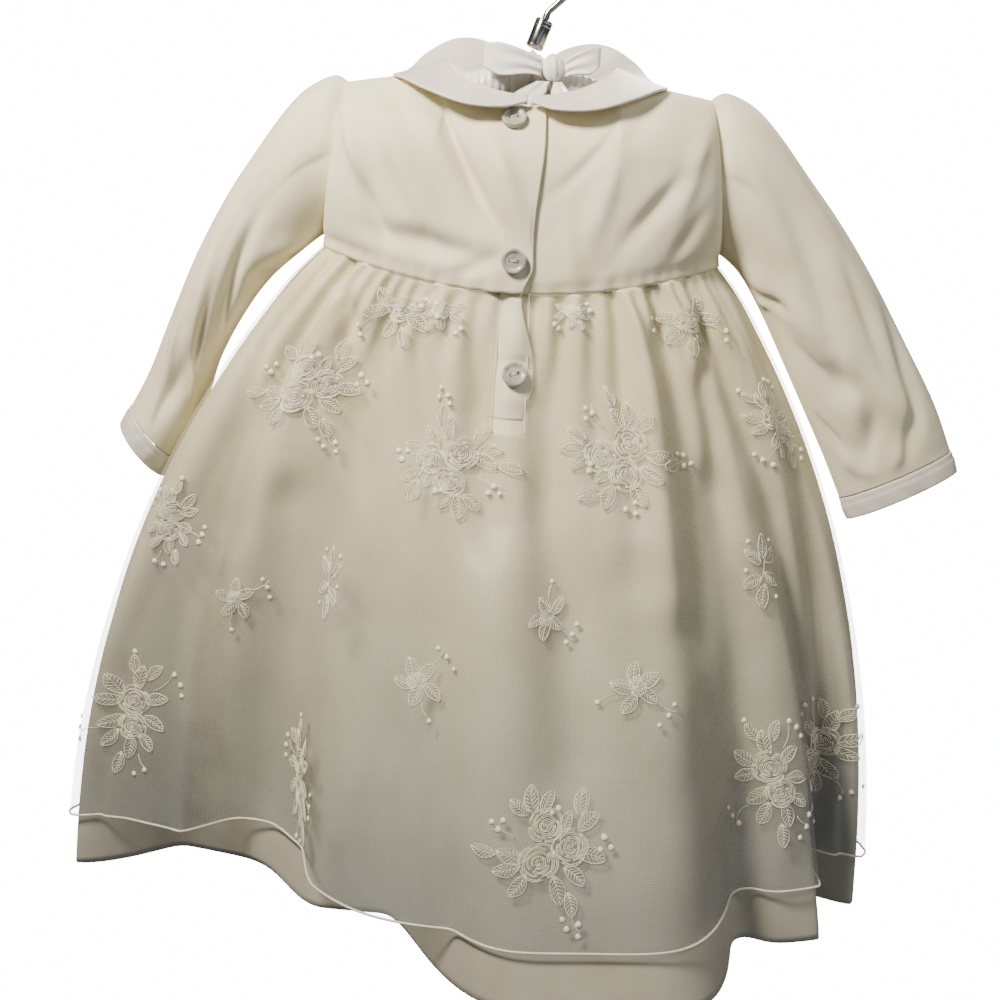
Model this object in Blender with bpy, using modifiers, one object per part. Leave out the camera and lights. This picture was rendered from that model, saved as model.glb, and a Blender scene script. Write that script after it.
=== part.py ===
# Baby's christening gown hanging from a padded hanger, its back towards -Y.
# Metres, +Z up. The origin is the inside top of the hook, where a rail would hold it.
# Velvet bodice, sleeves and underskirt, a net overskirt, satin collar and cuffs, shell buttons.

import math
from collections import namedtuple

import bmesh
import bpy
from mathutils import Matrix, Vector

MM = 0.001

# Cloth walls and the gaps that part the pieces
VELVET = 1.4 * MM
NET = 1.0 * MM
SATIN = 1.2 * MM
SEAM = 0.3 * MM
PANEL_GAP = 0.5 * MM

# Neck and shoulders
NECK_HALF = 40 * MM
NECK_SIDE_Z = -68 * MM
NECK_BACK_Y = 30 * MM
NECK_BACK_Z = -85.5 * MM
NECK_FRONT_Y = 34 * MM
NECK_FRONT_Z = -79 * MM
NECK_DIP = 1.5
SHOULDER_HALF = 87 * MM
SHOULDER_Z = -75.5 * MM

# Bodice
YOKE_HALF = 96.5 * MM
YOKE_DEPTH = 47 * MM
YOKE_CENTRE_Z = -170.5 * MM
YOKE_SIDE_Z = -153 * MM
ROUNDNESS = 0.85
SHOULDER_ROLL = 0.40
ARMHOLE_SHARE = 0.93
ARMHOLE_DEPTH = 26 * MM
NECK_COLUMNS_SHARE = 0.42
BODICE_ROWS = (0.0, 0.004, 0.025, 0.07, 0.15, 0.27, 0.42, 0.60, 0.80, 1.0)

# The centre back closing: the left back lies over the right one
OVERLAP_TOP = 7.8 * MM
OVERLAP_TAPER = 2.6 * MM
OVERLAP_CORNER = 4.0 * MM
OVERLAP_LIFT = 2.0 * MM
OVERLAP_LIFT_NECK = 2.6 * MM
LIFT_FROM = -26 * MM
LIFT_TO = -10.5 * MM
UNDERLAP = -9 * MM

# Skirts
HEM_Z = -473 * MM
HEM_HALF_LEFT = 209 * MM
HEM_HALF_RIGHT = 187.5 * MM
HEM_DEPTH = 55 * MM
SIDE_FLARE = 2.45
SKIRT_COLUMNS = 112
SKIRT_ROWS = (0.0, 0.05, 0.12, 0.21, 0.32, 0.46, 0.61, 0.76, 0.915)
GATHERS = 28
GATHER_RISE = 2.3 * MM
GATHERS_END = 0.45
PLEAT_RISE = 3.2 * MM
NET_GAP_YOKE = 1.7 * MM
NET_GAP_BODY = 3.6 * MM
NET_GAP_HEM = 6.5 * MM
NET_BLEND = 5.0 * MM
SLIT_COLUMNS = (-2, 1)
SLIT_ROWS = 3

# Placket strip on the underskirt below the bodice closing
PLACKET_TOP = 0.006
PLACKET_BOTTOM = 0.190
PLACKET_LEFT = -12.5 * MM
PLACKET_RIGHT_TOP = 1.0 * MM
PLACKET_SWELL = 7.5 * MM
PLACKET_ROUNDING = 4.0 * MM
PLACKET_LIFT = 0.9 * MM

# Sleeves and cuffs
SLEEVE_COLUMNS = 28
SLEEVE_RINGS = 11
CAP_PUFF = 4.5 * MM
CUFF_COLUMNS = 24
CUFF_SWELL = 0.6 * MM

# Collar
COLLAR_COLUMNS = 19
COLLAR_END_ANGLE = 1.4
COLLAR_STAND = 3.6 * MM
COLLAR_CLEAR = 1.0 * MM
COLLAR_INSET = 1.3 * MM

# Buttons
BUTTON_RADIUS = 5.75 * MM
BUTTON_THICK = 2.4 * MM
BUTTON_DISH = 0.7 * MM
BUTTON_SIDES = 16
BUTTON_HOLE_RADIUS = 0.85 * MM
BUTTON_HOLE_SPACING = 3.4 * MM
BUTTON_CLEAR = 0.5 * MM
PLACKET_BUTTON = (0.56, 0.123)

# Hanger
WIRE_RADIUS = 1.75 * MM
HOOK_RADIUS = 18 * MM
HOOK_START = -38.0
HOOK_END = 205.0
HOOK_STEPS = 20
FERRULE_RADIUS = 4.5 * MM
FERRULE_TOP = Vector((5.5, 0, -42.2)) * MM
FERRULE_BOTTOM = Vector((0.84, 0, -55.6)) * MM
ARM_RADIUS = 8.8 * MM
ARM_HALF = 82 * MM
ARM_CENTRE_Z = -64.1 * MM
ARM_DROP = 24.8 * MM
ARM_CURVE = 0.70
ARM_POINTS = 15
KNOT_CENTRE = Vector((10.5, -12.5, -65.5)) * MM
KNOT_SIZE = Vector((10, 8, 13)) * MM

# One row for each large fold. Angles are degrees round the skirt from the centre back towards
# the gown's right side, reach is how far the fold stands out of the plain ring at the hem.
Fold = namedtuple("Fold", "name yoke_angle hem_angle reach half_width")
UNDERSKIRT_FOLDS = (
    Fold("centre flute", 6, 13, 96 * MM, 28),
    Fold("left hollow", -34, -53, -52 * MM, 30),
    Fold("left side ridge", -62, -80, 5 * MM, 12),
    Fold("right near flute", 36, 49, 26 * MM, 14),
    Fold("right hollow", 58, 66, -27 * MM, 13),
    Fold("right side ridge", 76, 81, 2 * MM, 9),
    Fold("front right flute", 112, 118, 26 * MM, 14),
    Fold("front right hollow", 132, 137, -16 * MM, 11),
    Fold("front centre right flute", 150, 153, 34 * MM, 15),
    Fold("front centre hollow", 174, 175, -12 * MM, 10),
    Fold("front centre left flute", 198, 197, 32 * MM, 15),
    Fold("front left hollow", 220, 217, -18 * MM, 11),
    Fold("front left flute", 242, 238, 28 * MM, 14),
)
OVERSKIRT_FOLDS = (
    Fold("centre flute", 2, 4, 84 * MM, 38),
    Fold("left hollow", -40, -36, -40 * MM, 14),
    Fold("left near ridge", -50, -60, -6 * MM, 14),
    Fold("right hollow", 56, 60, -24 * MM, 12),
    Fold("front right flute", 118, 122, 30 * MM, 17),
    Fold("front right hollow", 138, 140, -8 * MM, 10),
    Fold("front centre flute", 172, 172, 40 * MM, 26),
    Fold("front left hollow", 214, 213, -6 * MM, 10),
    Fold("front left flute", 236, 232, 34 * MM, 18),
)

# One row for each section across a sleeve, from the armhole down: the outer and inner edges
# in the front view, and how deep the tube is there and where its middle lies in Y.
Section = namedtuple("Section", "outer_x outer_z inner_x inner_z depth middle_y")
LEFT_SLEEVE = (
    Section(-87 * MM, -75.5 * MM, -96 * MM, -147.6 * MM, 52 * MM, 0),
    Section(-111 * MM, -87 * MM, -107 * MM, -157 * MM, 56 * MM, 0),
    Section(-136 * MM, -119 * MM, -122 * MM, -171 * MM, 53 * MM, 1 * MM),
    Section(-156.5 * MM, -156 * MM, -135 * MM, -189 * MM, 50 * MM, 5 * MM),
    Section(-173 * MM, -194 * MM, -147.5 * MM, -212 * MM, 44 * MM, 13 * MM),
    Section(-184 * MM, -220 * MM, -157 * MM, -239 * MM, 44 * MM, 21 * MM),
    Section(-194 * MM, -239 * MM, -171 * MM, -265 * MM, 44 * MM, 25 * MM),
)
LEFT_CUFF_END = Section(-200 * MM, -248 * MM, -177 * MM, -275.5 * MM, 44 * MM, 27 * MM)
RIGHT_SLEEVE = (
    Section(87 * MM, -75.5 * MM, 96 * MM, -147.6 * MM, 52 * MM, 0),
    Section(112 * MM, -84 * MM, 107 * MM, -157 * MM, 56 * MM, 0),
    Section(143 * MM, -117 * MM, 118 * MM, -174 * MM, 50 * MM, -1 * MM),
    Section(168 * MM, -151 * MM, 128 * MM, -193 * MM, 43 * MM, -3 * MM),
    Section(190 * MM, -187 * MM, 141 * MM, -218 * MM, 36 * MM, -4 * MM),
    Section(206 * MM, -214 * MM, 154 * MM, -243 * MM, 30 * MM, -4 * MM),
    Section(216.5 * MM, -237.5 * MM, 164 * MM, -264 * MM, 27 * MM, -4 * MM),
)
RIGHT_CUFF_END = Section(221 * MM, -247.5 * MM, 168.5 * MM, -274.5 * MM, 27 * MM, -4 * MM)

# The collar's lobes round from the centre back to the centre front, in degrees: how steeply
# they lie above level and how wide they are.
Lobe = namedtuple("Lobe", "angle slope width")
COLLAR_LOBES = (
    Lobe(0, -24, 6 * MM), Lobe(12, -24, 16 * MM), Lobe(30, -22, 26 * MM), Lobe(48, -12, 29 * MM),
    Lobe(60, -4, 27 * MM), Lobe(75, -10, 24 * MM), Lobe(94, -18, 22 * MM), Lobe(112, 2, 22 * MM),
    Lobe(130, 34, 27 * MM), Lobe(150, 52, 32 * MM), Lobe(168, 54, 23 * MM), Lobe(180, 52, 6 * MM),
)

# One row for each soft crease pressed into a panel. Places are shares of the panel's columns
# and rows, slant is how far the crease drifts in columns while it runs down by one panel.
Crease = namedtuple("Crease", "name column row slant half_width half_length rise")
LEFT_SLEEVE_CREASES = (
    Crease("elbow front", 0.30, 0.42, 0.30, 0.035, 0.13, -2.6 * MM),
    Crease("elbow ridge", 0.22, 0.55, 0.45, 0.040, 0.12, 2.2 * MM),
    Crease("wrist hollow", 0.26, 0.82, -0.20, 0.050, 0.10, -3.0 * MM),
    Crease("underarm pull", 0.40, 0.22, -0.35, 0.035, 0.12, 2.0 * MM),
    Crease("far elbow", 0.72, 0.50, 0.30, 0.045, 0.14, -2.2 * MM),
    Crease("far wrist", 0.80, 0.78, 0.20, 0.050, 0.12, 2.0 * MM),
)
RIGHT_SLEEVE_CREASES = (
    Crease("long hollow", 0.24, 0.40, 0.20, 0.040, 0.18, -2.4 * MM),
    Crease("elbow ridge", 0.33, 0.46, -0.25, 0.035, 0.14, 2.4 * MM),
    Crease("underarm pull", 0.41, 0.24, -0.30, 0.035, 0.10, 2.4 * MM),
    Crease("wrist ridge", 0.20, 0.78, -0.40, 0.045, 0.14, 2.2 * MM),
    Crease("wrist hollow", 0.30, 0.84, 0.50, 0.035, 0.08, -2.2 * MM),
    Crease("far elbow", 0.70, 0.48, 0.25, 0.045, 0.14, -2.2 * MM),
    Crease("far wrist", 0.78, 0.76, -0.20, 0.050, 0.12, 2.0 * MM),
)


def mix(first, last, share):
    return first + (last - first) * share


def ease(share):
    held = min(max(share, 0.0), 1.0)
    return held * held * (3 - 2 * held)


def signed_power(value, power):
    return math.copysign(abs(value) ** power, value)


def crest(distance):
    """Height of a round-topped fold: 1 in the middle and 0 from one half width away."""
    if abs(distance) >= 1:
        return 0.0
    return math.cos(0.5 * math.pi * distance * distance) ** 2


def crease_rise(creases, column, row):
    """How far the creases lift the cloth at a place given as shares of columns and rows."""
    total = 0.0
    for crease in creases:
        drift = crease.column + crease.slant * (row - crease.row)
        across = (column - drift) / crease.half_width
        along = (row - crease.row) / crease.half_length
        total += crease.rise * math.exp(-across * across - along * along)
    return total


def collar_lobe(degrees):
    """Slope and width of the collar at an angle, eased between the table's rows."""
    for first, last in zip(COLLAR_LOBES, COLLAR_LOBES[1:]):
        if degrees <= last.angle:
            break
    share = ease((degrees - first.angle) / (last.angle - first.angle))
    return math.radians(mix(first.slope, last.slope, share)), mix(first.width, last.width, share)


def smooth_section(sections, place):
    """A section between the table's rows, on a smooth curve through them all."""
    index = min(int(place), len(sections) - 2)
    share = place - index
    before = sections[max(index - 1, 0)]
    first = sections[index]
    last = sections[index + 1]
    after = sections[min(index + 2, len(sections) - 1)]
    values = []
    for a, b, c, d in zip(before, first, last, after):
        bend = (c - a) * share + (2 * a - 5 * b + 4 * c - d) * share ** 2
        values.append(b + 0.5 * (bend + (3 * b - a - 3 * c + d) * share ** 3))
    return Section(*values)


def make_material(name, colour, roughness, metallic=0.0, alpha=1.0):
    material = bpy.data.materials.new(name)
    material.use_nodes = True
    shader = material.node_tree.nodes["Principled BSDF"]
    shader.inputs["Base Color"].default_value = (*colour, 1)
    shader.inputs["Roughness"].default_value = roughness
    shader.inputs["Metallic"].default_value = metallic
    shader.inputs["Alpha"].default_value = alpha
    return material


def add_object(name, mesh, material, parent):
    part = bpy.data.objects.new(name, mesh)
    part.data.materials.clear()
    part.data.materials.append(material)
    part.parent = parent
    parent.users_collection[0].objects.link(part)
    return part


def mesh_from(shape, name):
    mesh = bpy.data.meshes.new(name)
    shape.to_mesh(mesh)
    shape.free()
    mesh.shade_smooth()
    mesh.set_sharp_from_angle(angle=math.radians(50))
    return mesh


def cloth(name, columns, rows, place, wall, behind, material, parent, closed=False, cut=None):
    """A wall of cloth. place gives its outer surface for a share of columns and a row value;
    behind is a point on the cloth's inner side; cut names the faces that are left out."""
    shape = bmesh.new()
    bmesh.ops.create_grid(shape, x_segments=columns, y_segments=len(rows) - 1, size=0.5)
    lines = {}
    for vert in shape.verts:
        column = round((vert.co.x + 0.5) * columns)
        row = round((0.5 - vert.co.y) * (len(rows) - 1))
        lines[vert] = (column, row)
    if cut:
        gone = [face for face in shape.faces if cut([lines[vert] for vert in face.verts])]
        bmesh.ops.delete(shape, geom=gone, context="FACES")
    for vert in shape.verts:
        column, row = lines[vert]
        vert.co = place(column / columns, rows[row])
    if closed:
        bmesh.ops.remove_doubles(shape, verts=shape.verts, dist=0.01 * MM)
    shape.normal_update()
    facing = 0.0
    for face in shape.faces:
        facing += face.normal.dot(face.calc_center_median() - behind) * face.calc_area()
    if facing < 0:
        bmesh.ops.reverse_faces(shape, faces=shape.faces)
    part = add_object(name, mesh_from(shape, name), material, parent)
    thickness = part.modifiers.new("Wall", "SOLIDIFY")
    thickness.thickness = wall
    thickness.offset = -1
    thickness.use_even_offset = True
    return part


# Bodice

def neck_top(x, front):
    """Y depth and Z of the bodice's top edge, round the neck and along the shoulder."""
    reach = abs(x)
    if reach >= NECK_HALF:
        share = (reach - NECK_HALF) / (SHOULDER_HALF - NECK_HALF)
        return 0.0, mix(NECK_SIDE_Z, SHOULDER_Z, share)
    round_off = math.sqrt(1 - (reach / NECK_HALF) ** 2)
    dip = round_off ** NECK_DIP
    if front:
        return NECK_FRONT_Y * round_off, mix(NECK_SIDE_Z, NECK_FRONT_Z, dip)
    return NECK_BACK_Y * round_off, mix(NECK_SIDE_Z, NECK_BACK_Z, dip)


def column_angle(share):
    """Angle round the bodice, 0 at the centre and 90 degrees at the side."""
    neck_angle = math.asin((NECK_HALF / SHOULDER_HALF) ** (1 / ROUNDNESS))
    size = abs(share)
    if size > NECK_COLUMNS_SHARE:
        onward = (size - NECK_COLUMNS_SHARE) / (1 - NECK_COLUMNS_SHARE)
        return math.copysign(mix(neck_angle, math.pi / 2, onward), share)
    x = NECK_HALF * math.sin(0.5 * math.pi * size / NECK_COLUMNS_SHARE)
    return math.copysign(math.asin((x / SHOULDER_HALF) ** (1 / ROUNDNESS)), share)


def yoke_seam_z(sine):
    return mix(YOKE_CENTRE_Z, YOKE_SIDE_Z, abs(sine) ** 1.7)


def bodice_point(angle, row, front):
    sine = math.sin(angle)
    cosine = max(math.cos(angle), 0.0)
    half = mix(SHOULDER_HALF, YOKE_HALF, row)
    x = half * signed_power(sine, ROUNDNESS)
    top_x = SHOULDER_HALF * signed_power(sine, ROUNDNESS)
    top_depth, top_z = neck_top(top_x, front)
    down_armhole = min(row / ARMHOLE_SHARE, 1.0)
    side_depth = ARMHOLE_DEPTH * 2 * math.sqrt(down_armhole * (1 - down_armhole))
    rounding = cosine ** ROUNDNESS
    roll = 1 - (1 - min(row / SHOULDER_ROLL, 1.0)) ** 2
    if top_depth > 0:
        top_depth /= rounding
    middle_depth = math.sqrt(mix(top_depth ** 2, YOKE_DEPTH ** 2, roll))
    depth = max(mix(side_depth, middle_depth, rounding), 0.5 * PANEL_GAP)
    z = mix(top_z, yoke_seam_z(sine), row)
    return Vector((x, depth if front else -depth, z))


def overlap_edge(row):
    return OVERLAP_TOP - OVERLAP_TAPER * row - OVERLAP_CORNER * ease((row - 0.85) / 0.15)


def angle_at(x, half):
    return math.copysign(math.asin((abs(x) / half) ** (1 / ROUNDNESS)), x)


def overlap_lift(x, row):
    """How far the left back stands off the right back it closes over."""
    lift = mix(OVERLAP_LIFT_NECK, OVERLAP_LIFT, min(row / SHOULDER_ROLL, 1.0))
    return Vector((0, -lift * ease((x - LIFT_FROM) / (LIFT_TO - LIFT_FROM)), 0))


def back_left_point(share, row):
    edge = angle_at(overlap_edge(row), mix(SHOULDER_HALF, YOKE_HALF, row))
    if share < 0.88:
        angle = column_angle(share / 0.88 - 1)
    else:
        angle = edge * (share - 0.88) / 0.12
    point = bodice_point(angle, row, front=False)
    return point + overlap_lift(point.x, row)


def back_right_point(share, row):
    edge = angle_at(UNDERLAP, mix(SHOULDER_HALF, YOKE_HALF, row))
    if share > 0.12:
        angle = column_angle((share - 0.12) / 0.88)
    else:
        angle = edge * (1 - share / 0.12)
    return bodice_point(angle, row, front=False)


def build_bodice(velvet, parent):
    behind = Vector((0, 0, -120 * MM))
    cloth("bodice_front", 20, BODICE_ROWS,
          lambda share, row: bodice_point(column_angle(2 * share - 1), row, front=True),
          VELVET, behind, velvet, parent)
    cloth("bodice_back_left", 12, BODICE_ROWS, back_left_point, VELVET, behind, velvet, parent)
    cloth("bodice_back_right", 12, BODICE_ROWS, back_right_point, VELVET, behind, velvet, parent)


# Sleeves

def section_point(section, turn):
    """A point of the sleeve's oval ring: turn 0 at the outer edge, a quarter towards the back."""
    outer = Vector((section.outer_x, section.middle_y, section.outer_z))
    inner = Vector((section.inner_x, section.middle_y, section.inner_z))
    middle = (outer + inner) / 2
    angle = 2 * math.pi * turn
    point = middle + (outer - inner) / 2 * math.cos(angle)
    point.y -= section.depth / 2 * math.sin(angle)
    return point


def sleeve_point(sections, creases, turn, along):
    section = smooth_section(sections, along * (len(sections) - 1))
    point = section_point(section, turn)
    side = math.copysign(1, section.outer_x)
    point.x += side * SEAM * 2 * (1 - ease(along * 8))
    middle = (section_point(section, 0) + section_point(section, 0.5)) / 2
    outward = (point - middle).normalized()
    top = max(math.cos(2 * math.pi * turn), 0.0)
    puff = CAP_PUFF * (top ** 0.5) * ease(along / 0.07) * (1 - ease((along - 0.07) / 0.25))
    cap_gathers = 0.9 * MM * math.cos(16 * math.pi * turn) * top * ease(along / 0.04)
    cap_gathers *= 1 - ease((along - 0.05) / 0.16)
    fade = ease(along / 0.12) * ease((1 - along) / 0.08)
    return point + outward * (puff + cap_gathers + crease_rise(creases, turn, along) * fade)


def build_sleeve(name, sections, creases, velvet, parent):
    rows = [(ring / SLEEVE_RINGS) ** 1.15 for ring in range(SLEEVE_RINGS + 1)]
    middle = section_point(sections[3], 0).lerp(section_point(sections[3], 0.5), 0.5)
    cloth(name, SLEEVE_COLUMNS, rows,
          lambda turn, along: sleeve_point(sections, creases, turn, along),
          VELVET, middle, velvet, parent, closed=True)


def build_cuff(name, last, end, satin, parent):
    start_gap = SEAM / (section_point(end, 0) - section_point(last, 0)).length

    def place(turn, along):
        values = [mix(a, b, start_gap + along * (1 - start_gap)) for a, b in zip(last, end)]
        section = Section(*values)
        point = section_point(section, turn)
        middle = section_point(section, 0).lerp(section_point(section, 0.5), 0.5)
        swell = CUFF_SWELL * math.sin(math.pi * mix(0.15, 1.0, along))
        return point + (point - middle).normalized() * swell

    middle = section_point(end, 0).lerp(section_point(end, 0.5), 0.5)
    cloth(name, CUFF_COLUMNS, (0.0, 0.5, 1.0), place, SATIN, middle, satin, parent,
          closed=True)


# Skirts

def plain_ring(angle, row):
    """Point and outward direction of the skirt without folds, angle 0 at the centre back."""
    sine = math.sin(angle)
    cosine = math.cos(angle)
    hem_half = mix(HEM_HALF_LEFT, HEM_HALF_RIGHT, 0.5 + 0.5 * sine)
    half = mix(YOKE_HALF, hem_half, 1 - (1 - row) ** SIDE_FLARE)
    depth = mix(YOKE_DEPTH, HEM_DEPTH, row)
    power = mix(ROUNDNESS, 1.0, min(row * 2, 1.0))
    x = half * signed_power(sine, power)
    y = -depth * signed_power(cosine, power)
    z = mix(yoke_seam_z(sine) - SEAM - 0.2 * MM, HEM_Z, row)
    outward = Vector((sine / half, -cosine / depth, 0)).normalized()
    return Vector((x, y, z)), outward


def fold_rise(folds, angle, row):
    total = 0.0
    for fold in folds:
        middle = mix(fold.yoke_angle, fold.hem_angle, row)
        away = (math.degrees(angle) - middle + 180) % 360 - 180
        total += fold.reach * row ** 1.35 * crest(away / fold.half_width)
    return total


def gather_rise(angle, row):
    """Small gathers under the yoke seam, which join into wider pleats lower down."""
    wander = 0.8 * math.sin(3 * angle + 1) + 0.5 * math.sin(7 * angle)
    near_seam = mix(0.35, 1.0, ease(row / 0.08)) * (1 - ease(row / GATHERS_END))
    calm_side = 1 - 0.75 * abs(math.sin(angle)) ** 8
    small = GATHER_RISE * near_seam * math.sin(GATHERS * angle + wander)
    pleat_fade = ease(row / 0.22) * (1 - ease((row - 0.30) / 0.55))
    wide = PLEAT_RISE * pleat_fade * math.sin(0.5 * GATHERS * angle + 1.4 * wander)
    return (small + wide) * calm_side


def underskirt_rise(angle, row):
    tucked = -1.9 * MM * (1 - ease(row / 0.06))
    return tucked + gather_rise(angle, row) + fold_rise(UNDERSKIRT_FOLDS, angle, row)


def net_gap(row):
    near = mix(NET_GAP_YOKE, NET_GAP_BODY, ease(row / 0.08))
    return mix(near, NET_GAP_HEM, ease((row - 0.35) / 0.6))


def overskirt_rise(angle, row):
    """The net stays outside the velvet, and swings out on folds of its own."""
    over_velvet = underskirt_rise(angle, row) + net_gap(row)
    own = fold_rise(OVERSKIRT_FOLDS, angle, row) - 4 * MM
    larger = max(over_velvet, own)
    blend = max(NET_BLEND - abs(over_velvet - own), 0) ** 2 / (4 * NET_BLEND)
    return larger + blend * ease(row / 0.3)


def skirt_point(rise, angle, row):
    point, outward = plain_ring(angle, row)
    return point + outward * rise(angle, row)


def panel_angle(share, front):
    """Angle of a share of a skirt panel's width, which stops just short of the side seams."""
    side_gap = PANEL_GAP / (YOKE_DEPTH * 2)
    first = math.pi / 2 if front else -math.pi / 2
    return first + mix(side_gap, math.pi - side_gap, share)


def skirt_panel(name, rise, rows, wall, front, cut, material, parent):
    cloth(name, SKIRT_COLUMNS // 2, rows,
          lambda share, row: skirt_point(rise, panel_angle(share, front), row),
          wall, Vector((0, 0, -320 * MM)), material, parent, cut=cut)


def in_back_slit(corners):
    """The overskirt's centre back opening, from the yoke seam down beside the placket."""
    middle = SKIRT_COLUMNS // 4
    first = min(column for column, row in corners) - middle
    last = max(column for column, row in corners) - middle
    lowest = max(row for column, row in corners)
    return first >= SLIT_COLUMNS[0] and last <= SLIT_COLUMNS[1] and lowest <= SLIT_ROWS


def build_skirts(velvet, net, parent):
    for side, front in (("back", False), ("front", True)):
        skirt_panel("underskirt_" + side, underskirt_rise, SKIRT_ROWS + (1.0,), VELVET,
                    front, None, velvet, parent)
        skirt_panel("overskirt_" + side, overskirt_rise, SKIRT_ROWS, NET,
                    front, None if front else in_back_slit, net, parent)


def placket_point(share, row):
    """A point of the placket, moved out from the underskirt's own points round it."""
    down = (row - PLACKET_TOP) / (PLACKET_BOTTOM - PLACKET_TOP)
    right = PLACKET_RIGHT_TOP + PLACKET_SWELL * ease(down / 0.6)
    right -= PLACKET_ROUNDING * ease((down - 0.72) / 0.28)
    x = mix(PLACKET_LEFT, right, share)
    last = next(index for index, level in enumerate(SKIRT_ROWS) if level >= row)
    upper, lower = SKIRT_ROWS[last - 1], SKIRT_ROWS[last]
    level = (row - upper) / (lower - upper)
    middle = SKIRT_COLUMNS // 4
    for column in range(middle - 4, middle + 4):
        corners = []
        for side in (column, column + 1):
            angle = panel_angle(2 * side / SKIRT_COLUMNS, front=False)
            corners.append(skirt_point(underskirt_rise, angle, upper).lerp(
                skirt_point(underskirt_rise, angle, lower), level))
        if corners[1].x >= x:
            break
    across = (x - corners[0].x) / (corners[1].x - corners[0].x)
    return corners[0].lerp(corners[1], across) - Vector((0, PLACKET_LIFT + SATIN, 0))


def build_placket(velvet, parent):
    rows = [mix(PLACKET_TOP, PLACKET_BOTTOM, step / 6) for step in range(7)]
    cloth("skirt_placket", 6, rows, placket_point, SATIN, Vector((0, 0, -200 * MM)), velvet,
          parent)


# Collar

def collar_point(side, share, row):
    """One lobe: it stands up from the neck edge, folds over and lies outwards."""
    angle = math.radians(mix(COLLAR_END_ANGLE, 180 - COLLAR_END_ANGLE, share))
    sine = math.sin(angle)
    cosine = math.cos(angle)
    front = cosine < 0
    across = NECK_FRONT_Y if front else NECK_BACK_Y
    edge_z = mix(NECK_SIDE_Z, NECK_FRONT_Z if front else NECK_BACK_Z, abs(cosine) ** NECK_DIP)
    edge = Vector((side * NECK_HALF * sine, -across * cosine, edge_z))
    outward = Vector((side * sine / NECK_HALF, -cosine / across, 0)).normalized()
    degrees = math.degrees(angle)
    slope, width = collar_lobe(degrees)
    lean = outward * math.cos(slope) + Vector((0, 0, math.sin(slope)))
    stand_top = edge + Vector((0, 0, COLLAR_STAND))
    if row == 0:
        return edge + Vector((0, 0, COLLAR_CLEAR)) - outward * COLLAR_INSET
    if row == 1:
        return stand_top - outward * COLLAR_INSET * 1.2
    crest_point = stand_top + Vector((0, 0, 1.7 * MM)) + outward * 0.8 * MM
    if row == 2:
        return crest_point
    wave = 0.7 * MM * math.sin(math.radians(degrees * 5)) * (row - 2) / 3
    return crest_point + lean * width * (row - 2) / 3 + Vector((0, 0, wave))


def build_collar(satin, parent):
    for name, side in (("collar_left", -1), ("collar_right", 1)):
        cloth(name, COLLAR_COLUMNS, (0, 1, 2, 3, 4, 5),
              lambda share, row, side=side: collar_point(side, share, row),
              SATIN, Vector((0, 0, -1)), satin, parent)


# Buttons

def button_mesh():
    """A dished disc turned from its profile, with two holes through it."""
    top = BUTTON_THICK / 2
    profile = (
        (0, top - BUTTON_DISH), (0.62 * BUTTON_RADIUS, top - BUTTON_DISH),
        (0.80 * BUTTON_RADIUS, top), (BUTTON_RADIUS, 0.2 * top),
        (0.82 * BUTTON_RADIUS, -top), (0, -top),
    )
    shape = bmesh.new()
    line = [shape.verts.new((x, 0, z)) for x, z in profile]
    for first, last in zip(line, line[1:]):
        shape.edges.new((first, last))
    mesh = bpy.data.meshes.new("button_profile")
    shape.to_mesh(mesh)
    shape.free()
    turned = bpy.data.objects.new("button_turned", mesh)
    bpy.context.scene.collection.objects.link(turned)
    screw = turned.modifiers.new("Turn", "SCREW")
    screw.steps = BUTTON_SIDES
    screw.render_steps = BUTTON_SIDES
    screw.use_merge_vertices = True
    screw.merge_threshold = 0.01 * MM
    cutters = []
    for side in (-1, 1):
        hole = bmesh.new()
        place = Matrix.Translation((side * BUTTON_HOLE_SPACING / 2, 0, 0))
        bmesh.ops.create_cone(hole, cap_ends=True, segments=6, radius1=BUTTON_HOLE_RADIUS,
                              radius2=BUTTON_HOLE_RADIUS, depth=2 * BUTTON_THICK, matrix=place)
        hole_mesh = bpy.data.meshes.new("button_hole")
        hole.to_mesh(hole_mesh)
        hole.free()
        cutter = bpy.data.objects.new("button_hole", hole_mesh)
        bpy.context.scene.collection.objects.link(cutter)
        cut = turned.modifiers.new("Hole", "BOOLEAN")
        cut.operation = "DIFFERENCE"
        cut.object = cutter
        cutters.append(cutter)
    bpy.context.view_layer.update()
    drawn = turned.evaluated_get(bpy.context.evaluated_depsgraph_get())
    finished = bpy.data.meshes.new_from_object(drawn)
    for helper in cutters + [turned]:
        bpy.data.objects.remove(helper, do_unlink=True)
    return finished


def seat_button(part, seat, nearby_right, nearby_up):
    """Sets a button on a cloth surface, facing away from it."""
    right = (nearby_right - seat).normalized()
    up = (nearby_up - seat).normalized()
    out = right.cross(up).normalized()
    if out.y > 0:
        out = -out
    centre = seat + out * (BUTTON_THICK / 2 + BUTTON_CLEAR)
    turn = out.to_track_quat("Z", "Y").to_matrix().to_4x4()
    part.matrix_world = Matrix.Translation(centre) @ turn


def build_buttons(shell, parent):
    mesh = button_mesh()
    step = 2 * MM
    for number, x, row in ((1, -6.8 * MM, 0.085), (2, -3.4 * MM, 0.825)):
        half = mix(SHOULDER_HALF, YOKE_HALF, row)
        places = []
        for where, height in ((x, row), (x + step, row), (x, row - 0.02)):
            place = bodice_point(angle_at(where, half), height, front=False)
            places.append(place + overlap_lift(x, height))
        part = add_object("button_%d" % number, mesh.copy(), shell, parent)
        seat_button(part, *places)
    share, row = PLACKET_BUTTON
    places = [placket_point(share, row), placket_point(share + 0.1, row),
              placket_point(share, row - 0.01)]
    part = add_object("button_3", mesh.copy(), shell, parent)
    seat_button(part, *places)


# Hanger

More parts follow.
